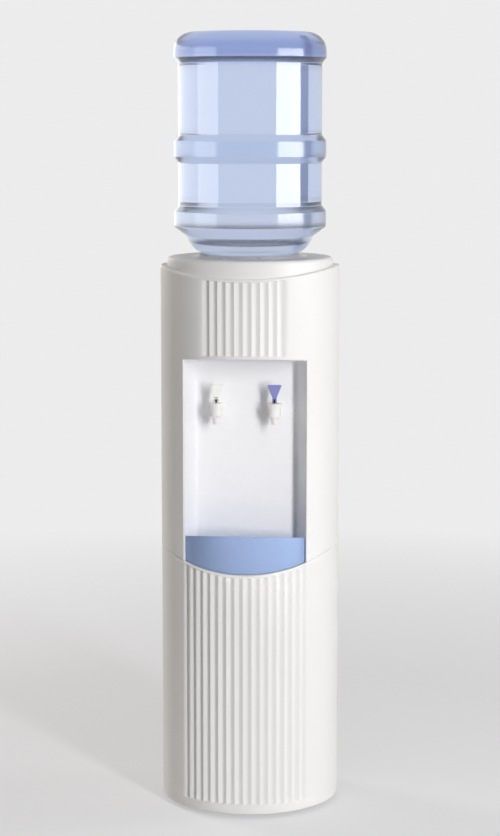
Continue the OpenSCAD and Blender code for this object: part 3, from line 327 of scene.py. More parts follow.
looks = {
    "shell_white": (mouldedPlastic, {
        "colour": (243, 242, 242), "drift": (241, 240, 239), "roughness": 0.34, "gloss": 0.22}),
    # The liner's white is paler than the shell's; that extra paleness is painted light on the alcove's back
    # panel
    "liner_white": (mouldedPlastic, {
        "colour": (250, 250, 253), "drift": (248, 248, 251), "roughness": 0.36}),
    "tray_blue": (mouldedPlastic, {
        "colour": (160, 182, 223), "drift": (155, 178, 220), "roughness": 0.3, "gloss": 0.15}),
    "grille_blue": (mouldedPlastic, {
        "colour": (124, 152, 199), "drift": (117, 145, 194), "roughness": 0.34}),
    "cap_blue": (mouldedPlastic, {"colour": (52, 92, 172), "drift": (48, 86, 164), "roughness": 0.32}),
    "faucet_white": (mouldedPlastic, {
        "colour": (250, 249, 248), "drift": (247, 246, 244), "roughness": 0.26}),
    "lever_blue": (mouldedPlastic, {
        "colour": (146, 150, 208), "drift": (140, 144, 204), "roughness": 0.26}),
    "lever_clear": (clearPlastic, {
        "colour": (252, 252, 246), "roughness": 0.03, "ior": 1.49, "flowDepth": 0}),
    "black_plastic": (mouldedPlastic, {"colour": (34, 34, 36), "drift": (40, 40, 42), "roughness": 0.42}),
    "grey_plastic": (mouldedPlastic, {
        "colour": (150, 151, 153), "drift": (143, 144, 146), "roughness": 0.42}),
    "knob_grey": (mouldedPlastic, {"colour": (205, 205, 203), "drift": (198, 198, 196), "roughness": 0.38}),
    # The bottle's deeper tints at the bands and the closed end are painted shade; its paler tint on the lower
    # part, towards the neck, is painted light
    "bottle_blue": (blownBlue, {
        "colour": (233, 239, 252), "band": (224, 233, 250), "shoulder": (238, 243, 253),
        "end": (199, 211, 241), "roughness": 0.15, "polish": 0.12, "ior": 1.5, "flowDepth": 0.2 * mm,
        "waists": ((1.074, 1.148), (1.197, 1.32)), "fade": 0.004,  # heights in metres
        "lowZone": (1.045, 1.08), "endZone": (1.328, 1.336)}),
    "silicone": (softRubber, {"colour": (224, 224, 220), "drift": (216, 215, 210), "roughness": 0.5}),
    "black_rubber": (softRubber, {"colour": (30, 30, 31), "drift": (46, 45, 44), "roughness": 0.66}),
    "panel_grey": (enamel, {"colour": (196, 197, 199), "drift": (188, 189, 190), "roughness": 0.42}),
    "black_paint": (enamel, {"colour": (28, 28, 30), "drift": (44, 43, 42), "roughness": 0.38}),
    "galvanised_steel": (spangledZinc, {
        "colour": (178, 182, 186), "drift": (150, 155, 160), "roughness": 0.36}),
    "plated_steel": (bareMetal, {"colour": (206, 207, 206), "drift": (192, 192, 188), "roughness": 0.22}),
    "stainless_steel": (bareMetal, {"colour": (200, 200, 200), "drift": (186, 187, 188), "roughness": 0.2}),
    "copper": (bareMetal, {"colour": (206, 134, 96), "drift": (176, 104, 72), "roughness": 0.26}),
    "foam_cream": (closedFoam, {"colour": (236, 226, 196), "drift": (226, 212, 176), "roughness": 0.85}),
}
finishes = {slot: make(slot, look) for slot, (make, look) in looks.items()}
slotOf = {part["node"]: part["material_slot"] for part in frame["record"]["subparts"]}
for node, thing in frame["nodes"].items():
    thing.data.materials.clear()
    thing.data.materials.append(finishes[slotOf[node]])
print("finishes made:", len(finishes))

# Mesh helpers

def finished(bm, name, body, slot, nodes=(), smooth=38):
    # Turns a bmesh into a piece that rides on a body and stands for CAD nodes
    bmesh.ops.remove_doubles(bm, verts=bm.verts, dist=tiny)
    bmesh.ops.recalc_face_normals(bm, faces=bm.faces)
    mesh = bpy.data.meshes.new(name)
    bm.to_mesh(mesh)
    bm.free()
    mesh.shade_smooth()
    mesh.set_sharp_from_angle(angle=math.radians(smooth))
    mesh.materials.append(finishes[slot])
    piece = bpy.data.objects.new(name, mesh)
    bpy.context.scene.collection.objects.link(piece)
    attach(piece, body)
    if nodes:
        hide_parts(*nodes)
    return piece


def addTo(bm, part):
    # Puts one bmesh into another
    mesh = bpy.data.meshes.new("part")
    part.to_mesh(mesh)
    part.free()
    bm.from_mesh(mesh)
    bpy.data.meshes.remove(mesh)


def gridSheet(columns, rows, place, cutOut=None):
    # A sheet of cells whose corners go where place says; cutOut names the cells left open
    bm = bmesh.new()
    spread = Matrix.Diagonal((columns, rows, 1, 1)) @ Matrix.Translation((0.5, 0.5, 0))
    bmesh.ops.create_grid(bm, x_segments=columns, y_segments=rows, size=0.5, matrix=spread)
    if cutOut:
        openCells = [face for face in bm.faces if cutOut(*face.calc_center_median().xy)]
        bmesh.ops.delete(bm, geom=openCells, context="FACES")
    for vert in bm.verts:
        vert.co = place(round(vert.co.x), round(vert.co.y))
    bmesh.ops.remove_doubles(bm, verts=bm.verts, dist=tiny)
    bmesh.ops.recalc_face_normals(bm, faces=bm.faces)
    return bm


def sharpEdges(bm, test, least=50):
    # Edges with a fold sharper than least degrees whose two ends pass a test
    angle = math.radians(least)
    folded = [e for e in bm.edges if len(e.link_faces) == 2 and e.calc_face_angle(0) > angle]
    return [e for e in folded if all(test(v.co) for v in e.verts)]


def soften(bm, edges, width, segments):
    # Rounds edges off
    bmesh.ops.bevel(
        bm, geom=edges, offset=width, offset_type="OFFSET", affect="EDGES", segments=segments,
        profile=0.5, material=-1, clamp_overlap=True)


def arc(x, z, radius, start, end, steps):
    # Points of an arc in a profile, angles in degrees
    turns = [math.radians(start + (end - start) * i / steps) for i in range(steps + 1)]
    return [(x + radius * math.cos(t), z + radius * math.sin(t)) for t in turns]


def lathe(outline, steps, closed=False):
    # Spins a profile of radius and height round the axis
    bm = bmesh.new()
    line = [bm.verts.new((r, 0, z)) for r, z in outline]
    for pair in zip(line, line[1:] + line[:1] if closed else line[1:]):
        bm.edges.new(pair)
    bmesh.ops.spin(
        bm, geom=bm.verts[:] + bm.edges[:], cent=(0, 0, 0), axis=(0, 0, 1), dvec=(0, 0, 0),
        angle=math.tau, steps=steps, use_merge=True, use_duplicate=False)
    bmesh.ops.remove_doubles(bm, verts=bm.verts, dist=tiny)
    bmesh.ops.recalc_face_normals(bm, faces=bm.faces)
    return bm


def plate(outline, low, high):
    # Upright plate from a plan outline between two heights
    bm = bmesh.new()
    foot = bm.faces.new([bm.verts.new((x, y, low)) for x, y in outline])
    top = bmesh.ops.extrude_face_region(bm, geom=[foot])["geom"]
    for vert in (v for v in top if isinstance(v, bmesh.types.BMVert)):
        vert.co.z = high
    bmesh.ops.recalc_face_normals(bm, faces=bm.faces)
    return bm


def block(low, high):
    # Box between two corners
    bm = bmesh.new()
    middle = (Vector(low) + Vector(high)) / 2
    size = Vector(high) - Vector(low)
    bmesh.ops.create_cube(bm, size=1, matrix=Matrix.Translation(middle) @ Matrix.Diagonal((*size, 1)))
    return bm


# Shells: two moulded rings with smile-shaped edges and a fan of flutes at the front

# A bevelled edge or corner is given as its width and number of segments
body = {
    "radius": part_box("lower_shell")[1].x,
    "wall": 5 * mm,
    "foot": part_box("lower_shell")[0].z,
    "seam": (438 * mm, 364 * mm),  # height at the front and radius of the smile curve
    "upperSeam": (438.3 * mm, 363.7 * mm),
    "rim": (953 * mm, 744 * mm),
    "rimEdge": (4.3 * mm, 6),
    "seamEdge": (0.8 * mm, 2),
    "footEdge": (2 * mm, 3),
    "edgeRow": (3 * mm, 4 * mm),  # first row above the upper seam, and above the foot
    "wallRows": (0.25, 0.5, 0.75, 0.97),  # rows beside the alcove, as shares of its height
    "rearHalf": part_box("rear_panel")[1].x + 1 * mm,
    "rearLow": 36 * mm,
    "rearHigh": 930 * mm,
    "rearEdge": (1.2 * mm, 2),
    "flange": (94 * mm, 105 * mm, 108 * mm),  # inner end, front and back of the flanges
    "ledge": 3 * mm,
    "sill": (16 * mm, 1.5 * mm),  # width, and depth of its top below the shell's edge
    "lidLedge": (143 * mm, 937 * mm),  # inner radius and height of the ledge under the lid
    "plainStep": 2.6,  # degrees between columns where the wall is plain
    "turns": 128,
    "shelfSteps": 32,
}
flutes = {
    "pitch": 5.4,  # degrees
    "depth": 3.5 * mm,
    "halfWidth": 7.2 * mm,
    "round": 0.5 * mm,  # roundness of the groove's floor
    "soft": 0.25 * mm,  # roundness of the ridge between two flutes
    "band": 4.3 * mm,  # plain band between the flutes and a shell's edge
    "runOut": 2 * mm,
    "foot": 17 * mm,
    "upper": 10,
    "lower": 16,
    "columns": (-2.34, -1.95, -1.45, -0.9, -0.3, 0.3, 0.9, 1.45, 1.95, 2.34, 2.7),  # degrees
    "endRows": (0, 0.4, 0.8, 1.2, 1.6, 2.0),  # rows of the run-out, in millimetres
}
alcove = {
    "half": 108 * mm,
    "backHalf": 90 * mm,
    "back": 72 * mm,
    "ceiling": 804.6 * mm,
    "slope": math.tan(math.radians(7.5)),
    "edge": (3.4 * mm, 5),
    "edgeTop": 900 * mm,  # above the alcove's edge and below the rim
    "ceilingRow": 4.1 * mm,
    "corner": (5 * mm, 6),
    "fold": 40,  # degrees, the least fold that is rounded
    "wall": 2.5 * mm,
    "floor": 455.7 * mm,
    "floorRadius": 143 * mm,
    "floorSteps": 32,
    "frontRadius": 153.8 * mm,
    "frontSteps": 40,
}
edgeDepth = math.sqrt(body["radius"]**2 - alcove["half"]**2)
draft = (alcove["half"] - alcove["backHalf"]) / (edgeDepth - alcove["back"])
rearAngle = 180 - math.degrees(math.asin(body["rearHalf"] / body["radius"]))


def smile(curve, x):
    low, radius = curve
    return low + radius - math.sqrt(radius**2 - x * x)


def ceiling(y):
    return alcove["ceiling"] + (-y - alcove["back"]) * alcove["slope"]


def sideMeets(radius, inset=0):
    # Where the alcove's side wall, drawn in by inset, meets a circle round the axis
    start = alcove["backHalf"] - alcove["back"] * draft - inset * math.hypot(1, draft)
    square = 1 + draft**2
    depth = (-start * draft + math.sqrt((start * draft)**2 - square * (start**2 - radius**2))) / square
    return start + draft * depth, -depth


def frontAngle(x, y):
    return math.degrees(math.atan2(x, -y))


def eased(share):
    # 0 to 1 with a soft start and end
    return share * share * (3 - 2 * share)


def fluteDepth(count, ends, angle, z):
    # Depth of the nearest flute below the plain wall
    index = min(count - 1, max(0, round(angle / flutes["pitch"] + (count - 1) / 2)))
    middle = (index - (count - 1) / 2) * flutes["pitch"]
    low, high = ends(body["radius"] * math.sin(math.radians(middle)))
    share = min(1, max(0, min(z - low, high - z) / flutes["runOut"]))
    aside = body["radius"] * math.radians(abs(angle - middle)) / flutes["halfWidth"]
    raw = flutes["depth"] + flutes["round"] - math.hypot(aside * flutes["depth"], flutes["round"])
    groove = (raw + math.hypot(raw, flutes["soft"])) / 2
    return groove * eased(share) if abs(angle - middle) < flutes["pitch"] else 0


def spread(start, end, step):
    count = max(1, round((end - start) / step))
    return [start + (end - start) * i / count for i in range(1, count + 1)]


def shellColumns(count, stops):
    # Angles round the shell, close together over the flutes
    half = [0]
    for i in range(count // 2):
        half += [(i + 0.5) * flutes["pitch"] + aside for aside in flutes["columns"]]
    for stop in stops:
        half += spread(half[-1], stop, body["plainStep"])
    return [-angle for angle in reversed(half[1:])] + half


def shellRing(columns, levels, windows, dent):
    # A closed wall: up the outside by the levels and down the inside by the same ones
    top = len(levels) - 1
    rows = 2 * len(levels)
    sideAngle = frontAngle(alcove["half"], -edgeDepth)
    inner = body["radius"] - body["wall"]
    keys = [
        (0, 0), (sideAngle, frontAngle(*sideMeets(inner))),
        (rearAngle, 180 - math.degrees(math.asin(body["rearHalf"] / inner))), (180, 180)]

    def innerAngle(angle):
        size = abs(angle)
        for (a, b), (c, d) in zip(keys, keys[1:]):
            if size <= c:
                return math.copysign(b + (d - b) * (size - a) / (c - a), angle)
        return angle

    def place(column, row):
        inside = top < row < rows
        level = levels[rows - 1 - row if inside else row % rows]
        angle = columns[column]
        turn = math.radians(innerAngle(angle) if inside else angle)
        radius = inner if inside else body["radius"]
        z = level(radius * math.sin(turn), -radius * math.cos(turn))
        if not inside:
            radius -= dent(angle, z)
        return Vector((radius * math.sin(turn), -radius * math.cos(turn), z))

    def cutOut(column, row):
        angle = abs(columns[int(column)] + columns[int(column) + 1]) / 2
        step = rows - 1 - row if row > top + 0.5 else row
        return any(a < angle < b and low < step < high for a, b, low, high in windows)

    bm = gridSheet(len(columns) - 1, rows, place, cutOut)
    middle = body["radius"] - body["wall"] / 2
    for side in (-1, 1):
        rims = [e for e in bm.edges if e.is_boundary and all(v.co.y * side > 0 for v in e.verts)]
        outside = [e for e in rims if all(v.co.xy.length > middle for v in e.verts)]
        inside = [e for e in rims if all(v.co.xy.length < middle for v in e.verts)]
        if outside:
            bmesh.ops.bridge_loops(bm, edges=outside + inside)
    bmesh.ops.recalc_face_normals(bm, faces=bm.faces)
    return bm


def onOutside(co):
    return co.xy.length > body["radius"] - 3 * near


def onCurve(curve, co):
    return onOutside(co) and abs(co.z - smile(curve, co.x)) < near / 2


def rearEdges(bm):
    # Upright edges and sill of the opening at the back
    def beside(co):
        return onOutside(co) and co.y > 0 and abs(co.x) <= body["rearHalf"] + near
    return sharpEdges(bm, beside)


def rearFrame(low, high, shelf):
    # Flanges beside the rear opening and the shelf that closes it
    bm = bmesh.new()
    end, front, back = body["flange"]
    outer = body["radius"] - body["wall"] + root
    reach = math.sqrt(outer**2 - back**2)
    addTo(bm, block((-reach, front, low), (-end, back, high)))
    addTo(bm, block((end, front, low), (reach, back, high)))
    half = math.degrees(math.acos(front / outer))
    outline = arc(0, 0, outer, 90 - half, 90 + half, body["shelfSteps"])
    addTo(bm, plate(outline, shelf, shelf + body["ledge"]))
    return bm


def upperShell():
    sideAngle = math.degrees(math.asin(alcove["half"] / body["radius"]))
    columns = shellColumns(flutes["upper"], (sideAngle, rearAngle, 180))

    def seamLevel(lift):
        return lambda x, y: smile(body["upperSeam"], x) + lift

    def middleLevel(share):
        return lambda x, y: smile(body["upperSeam"], x) * (1 - share) + ceiling(y) * share

    def ceilingLevel(lift):
        return lambda x, y: ceiling(y) + lift

    def rimLevel(drop):
        return lambda x, y: smile(body["rim"], x) - drop

    def ends(x):
        y = -math.sqrt(body["radius"]**2 - x * x)
        return ceiling(y) + flutes["band"], smile(body["rim"], x) - flutes["band"]

    def alcoveEdge(co):
        return onOutside(co) and co.y < 0 and co.z < alcove["edgeTop"] and abs(co.x) <= alcove["half"] + near

    endRows = [flutes["band"] + row * mm for row in flutes["endRows"]]
    levels = [seamLevel(0), seamLevel(body["edgeRow"][0])]
    levels += [middleLevel(share) for share in body["wallRows"]]
    alcoveTop = len(levels)
    levels += [ceilingLevel(0), ceilingLevel(alcove["ceilingRow"])] + [ceilingLevel(row) for row in endRows]
    doorTop = len(levels)
    levels += [lambda x, y: body["rearHigh"]] + [rimLevel(row) for row in reversed(endRows)]
    levels += [rimLevel(0)]
    windows = [(-1, sideAngle, -1, alcoveTop), (rearAngle, 181, -1, doorTop)]
    bm = shellRing(columns, levels, windows, lambda angle, z: fluteDepth(flutes["upper"], ends, angle, z))
    soften(bm, sharpEdges(bm, lambda co: onCurve(body["rim"], co)), *body["rimEdge"])
    soften(bm, sharpEdges(bm, lambda co: onCurve(body["upperSeam"], co)), *body["seamEdge"])
    soften(bm, sharpEdges(bm, alcoveEdge), *alcove["edge"])
    soften(bm, rearEdges(bm), *body["rearEdge"])
    addTo(bm, rearFrame(smile(body["upperSeam"], body["flange"][0]), body["rearHigh"], body["rearHigh"]))
    inner, low = body["lidLedge"]
    outer, high = body["radius"] - body["wall"] + root, low + body["ledge"]
    addTo(bm, lathe([(inner, low), (inner, high), (outer, high), (outer, low)], body["turns"], True))
    return finished(bm, "upper_shell_moulding", "root", "shell_white", ["upper_shell"])


def lowerShell():
    columns = shellColumns(flutes["lower"], (rearAngle, 180))
    start = body["foot"] + flutes["foot"]

    def fixedLevel(z):
        return lambda x, y: z

    def seamLevel(drop):
        return lambda x, y: smile(body["seam"], x) - drop

    def ends(x):
        return start, smile(body["seam"], x) - flutes["band"]

    def footEdge(co):
        return onOutside(co) and co.z < body["foot"] + near

    endRows = [row * mm for row in flutes["endRows"]]
    levels = [fixedLevel(body["foot"]), fixedLevel(body["foot"] + body["edgeRow"][1])]
    levels += [fixedLevel(start + row) for row in endRows]
    doorLow = len(levels)
    levels += [fixedLevel(body["rearLow"])] + [seamLevel(flutes["band"] + row) for row in reversed(endRows)]
    levels += [seamLevel(0)]
    windows = [(rearAngle, 181, doorLow, 2 * len(levels))]
    bm = shellRing(columns, levels, windows, lambda angle, z: fluteDepth(flutes["lower"], ends, angle, z))
    soften(bm, sharpEdges(bm, lambda co: onCurve(body["seam"], co)), *body["rimEdge"])
    soften(bm, sharpEdges(bm, footEdge), *body["footEdge"])
    soften(bm, rearEdges(bm), *body["rearEdge"])
    flangeTop = smile(body["seam"], body["flange"][0])
    addTo(bm, rearFrame(body["rearLow"], flangeTop, body["rearLow"] - body["ledge"]))
    width, drop = body["sill"]
    inner, outer = body["radius"] - width, body["radius"] - body["wall"] + root
    high = body["seam"][0] - drop
    low = high - body["ledge"]
    sill = lathe([(inner, low), (inner, high), (outer, high), (outer, low)], body["turns"], True)
    for vert in sill.verts:
        vert.co.z += smile(body["seam"], vert.co.x) - body["seam"][0]
    cut = bmesh.ops.bisect_plane(
        sill, geom=sill.verts[:] + sill.edges[:] + sill.faces[:], plane_co=(0, body["flange"][1], 0),
        plane_no=(0, 1, 0), clear_outer=True)["geom_cut"]
    bmesh.ops.holes_fill(sill, edges=[e for e in cut if isinstance(e, bmesh.types.BMEdge)])
    addTo(bm, sill)
    return finished(bm, "lower_shell_moulding", "root", "shell_white", ["lower_shell"])


upperShell()
lowerShell()
print("shells moulded")

# Alcove liner: one moulded niche with rounded inner corners

def alcoveLiner():
    reach = frontAngle(*sideMeets(alcove["frontRadius"]))
    low = alcove["floor"] - alcove["wall"]
    corners = [(-alcove["backHalf"], -alcove["back"]), (alcove["backHalf"], -alcove["back"])]
    bow = arc(0, 0, alcove["frontRadius"], -90 + reach, -90 - reach, alcove["frontSteps"])
    bm = plate(corners + bow, low, 1)
    for vert in bm.verts:
        if vert.co.z > low + mm:
            vert.co.z = ceiling(vert.co.y)
    rim = alcove["frontRadius"] - near / 10
    front = [f for f in bm.faces if all(v.co.xy.length > rim for v in f.verts)]
    floor = [f for f in bm.faces if all(v.co.z < low + mm for v in f.verts)]
    bmesh.ops.delete(bm, geom=front + floor, context="FACES")
    soften(bm, sharpEdges(bm, lambda co: True, alcove["fold"]), *alcove["corner"])
    bmesh.ops.recalc_face_normals(bm, faces=bm.faces)
    bmesh.ops.solidify(bm, geom=bm.faces[:], thickness=-alcove["wall"])
    reach = frontAngle(*sideMeets(alcove["floorRadius"]))
    bow = arc(0, 0, alcove["floorRadius"], -90 + reach, -90 - reach, alcove["floorSteps"])
    addTo(bm, plate(corners + bow, low, alcove["floor"]))
    return finished(bm, "alcove_liner_moulding", "root", "liner_white", ["alcove_liner"])


alcoveLiner()
print("liner moulded")

# Drip tray

tray = {
    "radius": 153 * mm,
    "gap": 0.5 * mm,
    "bottom": 456 * mm,
    "top": 506 * mm,
    "slope": math.tan(math.radians(11)),  # fall of the rim towards the back
    "skirt": 3 * mm,
    "wall": 2.5 * mm,
    "ledge": 4.5 * mm,
    "grille": 484.4 * mm,  # height of the ledge that carries the grille
    "basin": 458.5 * mm,
    "leastCorner": 15 * mm,  # shortest upright edge that is rounded
    "edge": (1.6 * mm, 3),
    "edgeFold": 40,  # degrees, the least fold that is rounded
    "corner": (2.5 * mm, 4),
    "cornerFold": 35,
    "steps": 40,
}


def trayOutline(inset):
    # Plan of the tray drawn in by inset: two back corners, then the front bow from right to left
    radius, inward = tray["radius"] - inset, tray["gap"] + inset
    reach = frontAngle(*sideMeets(radius, inward))
    backX = alcove["backHalf"] + inward * draft - inward * math.hypot(1, draft)
    backY = -alcove["back"] - inward
    return [(-backX, backY), (backX, backY)] + arc(0, 0, radius, -90 + reach, -90 - reach, tray["steps"])


def dripTray():
    plans = {inset: trayOutline(inset) for inset in (0, tray["skirt"], tray["wall"], tray["ledge"])}
    count = len(plans[0])

    def skirtLow(index, x):
        return min(tray["bottom"], smile(body["seam"], x) + tray["gap"]) if index > 1 else tray["bottom"]

    def rimHigh(y):
        return tray["top"] - (tray["radius"] + y) * tray["slope"]

    section = [
        (tray["skirt"], lambda i, x, y: tray["bottom"]),
        (tray["skirt"], lambda i, x, y: skirtLow(i, x)),
        (0, lambda i, x, y: skirtLow(i, x)),
        (0, lambda i, x, y: rimHigh(y)),
        (tray["wall"], lambda i, x, y: rimHigh(y)),
        (tray["wall"], lambda i, x, y: tray["grille"]),
        (tray["ledge"], lambda i, x, y: tray["grille"]),
        (tray["ledge"], lambda i, x, y: tray["basin"]),
    ]

    def place(column, row):
        index = column % count
        inset, height = section[row]
        x, y = plans[inset][index]
        return Vector((x, y, height(index, x, y)))

    bm = gridSheet(count, len(section) - 1, place)
    bmesh.ops.holes_fill(bm, edges=[e for e in bm.edges if e.is_boundary])
    bmesh.ops.recalc_face_normals(bm, faces=bm.faces)
    folded = sharpEdges(bm, lambda co: co.z > tray["bottom"] - tray["skirt"], tray["cornerFold"])
    upright = [e for e in folded if abs(e.verts[0].co.z - e.verts[1].co.z) > tray["leastCorner"]]
    soften(bm, upright, *tray["corner"])
    rims = sharpEdges(bm, lambda co: abs(co.z - rimHigh(co.y)) < near, tray["edgeFold"])
    soften(bm, rims, *tray["edge"])
    return finished(bm, "drip_tray_moulding", "drip_tray", "tray_blue", ["drip_tray"])


dripTray()
print("tray moulded")

# Lid and bottle seat

lid = {
    "radius": 147 * mm,
    "bottom": 940 * mm,
    "top": 983 * mm,
    "edge": 6.5 * mm,
    "edgeSteps": (6, 4),  # outside and inside
    "bead": (153.85 * mm, 0.5 * mm, 4 * mm),  # radius of the bead, its depth under the rim and its height
    "wall": 3 * mm,
    "hole": 90 * mm,
    "turns": 180,
}
seat = {
    "collar": 106 * mm,
    "swell": 21 * mm,
    "swellSteps": 10,
    "rise": 988 * mm,
    "mouth": 84 * mm,
    "tube": 31.5 * mm,
    "wall": 3 * mm,
    "low": 879.7 * mm,
    "cone": math.radians(30),
    "lip": (1 * mm, 0.8 * mm),  # how far outside the mouth its middle stands, and its rounding
    "lipSweep": (90, 150, 3),  # first and last angle, and steps
    "sunk": 0.2 * mm,  # how far the collar goes into the lid
    "underside": 0.1 * mm,  # how much narrower the collar's underside is
}


def topLid():
    radius, wall, edge = lid["radius"], lid["wall"], lid["edge"]
    outside, inside = lid["edgeSteps"]
    middle = (radius - edge, lid["top"] - edge)
    line = [(lid["hole"], lid["top"])] + arc(*middle, edge, 90, 0, outside) + [(radius, lid["bottom"])]
    line += [(radius - wall, lid["bottom"])] + arc(*middle, edge - wall, 0, 90, inside)
    line += [(lid["hole"], lid["top"] - wall)]
    bm = lathe(line, lid["turns"], True)
    outer, drop, height = lid["bead"]
    inner, low = radius - root, -drop - height
    bead = lathe([(inner, -drop), (outer, -drop), (outer, low), (inner, low)], lid["turns"], True)
    for vert in bead.verts:
        vert.co.z += smile(body["rim"], vert.co.x)
    addTo(bm, bead)
    return finished(bm, "top_lid_moulding", "root", "shell_white", ["top_lid"])


def bottleSeat():
    collar, mouth, tube, wall = seat["collar"], seat["mouth"], seat["tube"], seat["wall"]
    slope = math.tan(seat["cone"])
    tubeTop = seat["rise"] - (mouth - tube) * slope
    under = wall / math.cos(seat["cone"]) - wall * slope  # drop from the cone to its underside
    rise = seat["rise"] - lid["top"]
    low = lid["top"] - seat["sunk"]
    back, curl = seat["lip"]
    shares = [i / seat["swellSteps"] for i in range(seat["swellSteps"] + 1)]
    line = [(collar - seat["swell"] * share, lid["top"] + rise * eased(share)) for share in shares]
    line += arc(mouth + back, seat["rise"] - curl, curl, *seat["lipSweep"])
    line += [(tube, tubeTop), (tube, seat["low"]), (tube + wall, seat["low"]), (tube + wall, tubeTop - under)]
    line += [(mouth + wall, seat["rise"] - under), (mouth + wall, low), (collar - seat["underside"], low)]
    bm = lathe(line, lid["turns"], True)
    return finished(bm, "bottle_seat_moulding", "root", "faucet_white", ["bottle_seat"])


topLid()
bottleSeat()
print("lid and seat turned")

# Bottle: blown shell, neck down in the seat

bottle = {
    "band": 134.5 * mm,
    "waist": 127 * mm,
    "wall": 1.6 * mm,
    "neck": (27.5 * mm, 892.8 * mm, 950.8 * mm),  # radius and heights of its ends
    "seatTop": 988.4 * mm,
    "rollLow": (95 * mm, 10 * mm),  # radius of the roll's lower corner and its rounding
    "roll": (106.5 * mm, 1006.5 * mm, 16 * mm),
    "notch": (111.8 * mm, 1019.5 * mm, 3 * mm),
    "bandLow": (1036 * mm, 5 * mm),
    "steps": (1063.8 * mm, 1148.8 * mm, 1186.8 * mm, 1320.8 * mm),
    "rise": 10 * mm,
    "stepEdge": 3.2 * mm,
    "top": cadBox[1].z,
    "end": 32 * mm,
    "neckEdge": (3 * mm, 2 * mm),  # step from the neck to the cone, and its rounding
    "arcSteps": 8,
    "turns": 180,
    "dimple": (30 * mm, 5 * mm, 6 * mm),  # radius, depth and slope of the dent in the closed end
    "waterLow": 940 * mm,
    "overlap": 0.15 * mm,  # how far the water reaches into the wall
    "smooth": 60,
}


def rounded(points, steps):
    # Profile through corner points, each given as radius, height and rounding
    line = []
    for before, corner, after in zip(points, points[1:], points[2:]):
        spot = Vector(corner[:2])
        inward = (Vector(before[:2]) - spot).normalized()
        onward = (Vector(after[:2]) - spot).normalized()
        if corner[2] == 0:
            line.append(tuple(spot))
            continue
        half = inward.angle(onward) / 2
        start = spot + inward * corner[2] / math.tan(half)
        middle = spot + (inward + onward).normalized() * corner[2] / math.sin(half)
        sweep = math.pi - 2 * half
        turn = sweep if (spot - start).cross(onward) > 0 else -sweep
        for i in range(steps + 1):
            swing = turn * i / steps
            arm = start - middle
            line.append((middle.x + arm.x * math.cos(swing) - arm.y * math.sin(swing),
                         middle.y + arm.x * math.sin(swing) + arm.y * math.cos(swing)))
    return [tuple(points[0][:2])] + line + [tuple(points[-1][:2])]


def bottleProfile(low):
    # Half profile of the outside, from the neck to the closed end
    neck, neckTop, top = bottle["neck"][0], bottle["neck"][2], bottle["top"]
    band, waist, edge, rise = bottle["band"], bottle["waist"], bottle["stepEdge"], bottle["rise"]
    neckStep, neckRound = bottle["neckEdge"]
    rollX, rollRound = bottle["rollLow"]
    width, depth, ease = bottle["dimple"]

    def coneAt(x, rounding):
        return (x, bottle["seatTop"] - (seat["mouth"] - x) * math.tan(seat["cone"]), rounding)

    points = [(neck, low, 0), (neck, neckTop, 0)]
    points += [coneAt(neck + neckStep, neckRound), coneAt(rollX, rollRound)]
    points += [bottle["roll"], bottle["notch"], (band, *bottle["bandLow"])]
    radii = (band, waist, band, waist, band)
    for i, z in enumerate(bottle["steps"]):
        points += [(radii[i], z, edge), (radii[i + 1], z + rise, edge)]
    points += [(band, top, bottle["end"]), (width + ease, top, ease / 2), (width, top - depth, ease / 2)]
    return rounded(points + [(0, top - depth, 0)], bottle["arcSteps"])


def inset(line, depth):
    # The same profile moved inwards
    spots = [Vector(spot) for spot in line]
    moved = []
    for i, spot in enumerate(spots):
        back = spot - spots[i - 1] if i else spots[1] - spot
        ahead = spots[i + 1] - spot if i + 1 < len(spots) else back
        back, ahead = back.normalized(), ahead.normalized()
        onward = (back + ahead).normalized()
        moved.append(tuple(spot + Vector((-onward.y, onward.x)) * depth / max(0.5, back.dot(onward))))
    return moved


def waterBottle():
    bm = lathe(bottleProfile(bottle["neck"][1]), bottle["turns"])
    bmesh.ops.solidify(bm, geom=bm.faces[:], thickness=bottle["wall"])
    return finished(bm, "bottle_blown", "bottle", "bottle_blue", ["bottle"], bottle["smooth"])


def water():
    # The water reaches a little into the wall, so that no film of air is left between them
    line = inset(bottleProfile(bottle["waterLow"]), bottle["wall"] - bottle["overlap"])
    bm = lathe([(0, bottle["waterLow"])] + line, bottle["turns"])
    filling = finished(bm, "bottle_water", "bottle", "bottle_blue", (), bottle["smooth"])
    filling.data.materials.clear()
    filling.data.materials.append(clearPlastic("water", waterLook))


waterLook = {"colour": (248, 251, 255), "roughness": 0.0, "ior": 1.33, "flowDepth": 0}
waterBottle()
water()
print("bottle blown and filled")

# Return springs of the valves, moved onto the root body so they stay against their bonnets as the stems rise;
# the coils keep their shape


def returnSpring(side):
    coil = frame["nodes"][side + "_return_spring"]
    bm = bmesh.new()
    bm.from_mesh(coil.data)
    bm.transform(coil.matrix_world)
    wound = finished(bm, side + "_spring_wound", "root", slotOf[coil.name], [coil.name])
    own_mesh(wound)


returnSpring("left")
returnSpring("right")
print("springs wound")

# Camera at the photograph's angle

view = {
    "azimuth": 4.5,
    "distance": 3.89,
    "height": 1.2347,
    "tilt": 7.93,
    "lens": 94.3,
    "sensor": 36,
    "far": 60,
}


def around(place):
    # The spot at an azimuth that runs from the front to the right
    turn = math.radians(place["azimuth"])
    return Vector((place["distance"] * math.sin(turn), -place["distance"] * math.cos(turn), place["height"]))


lens = bpy.data.cameras.new("camera")
lens.lens = view["lens"]
lens.sensor_width = view["sensor"]
lens.clip_end = view["far"]
camera = bpy.data.objects.new("camera", lens)
camera.location = around(view)
camera.rotation_euler = (math.radians(90 - view["tilt"]), 0, math.radians(view["azimuth"]))
bpy.context.scene.collection.objects.link(camera)
bpy.context.scene.camera = camera

# Studio: soft lights, pale floor and a pale surrounding

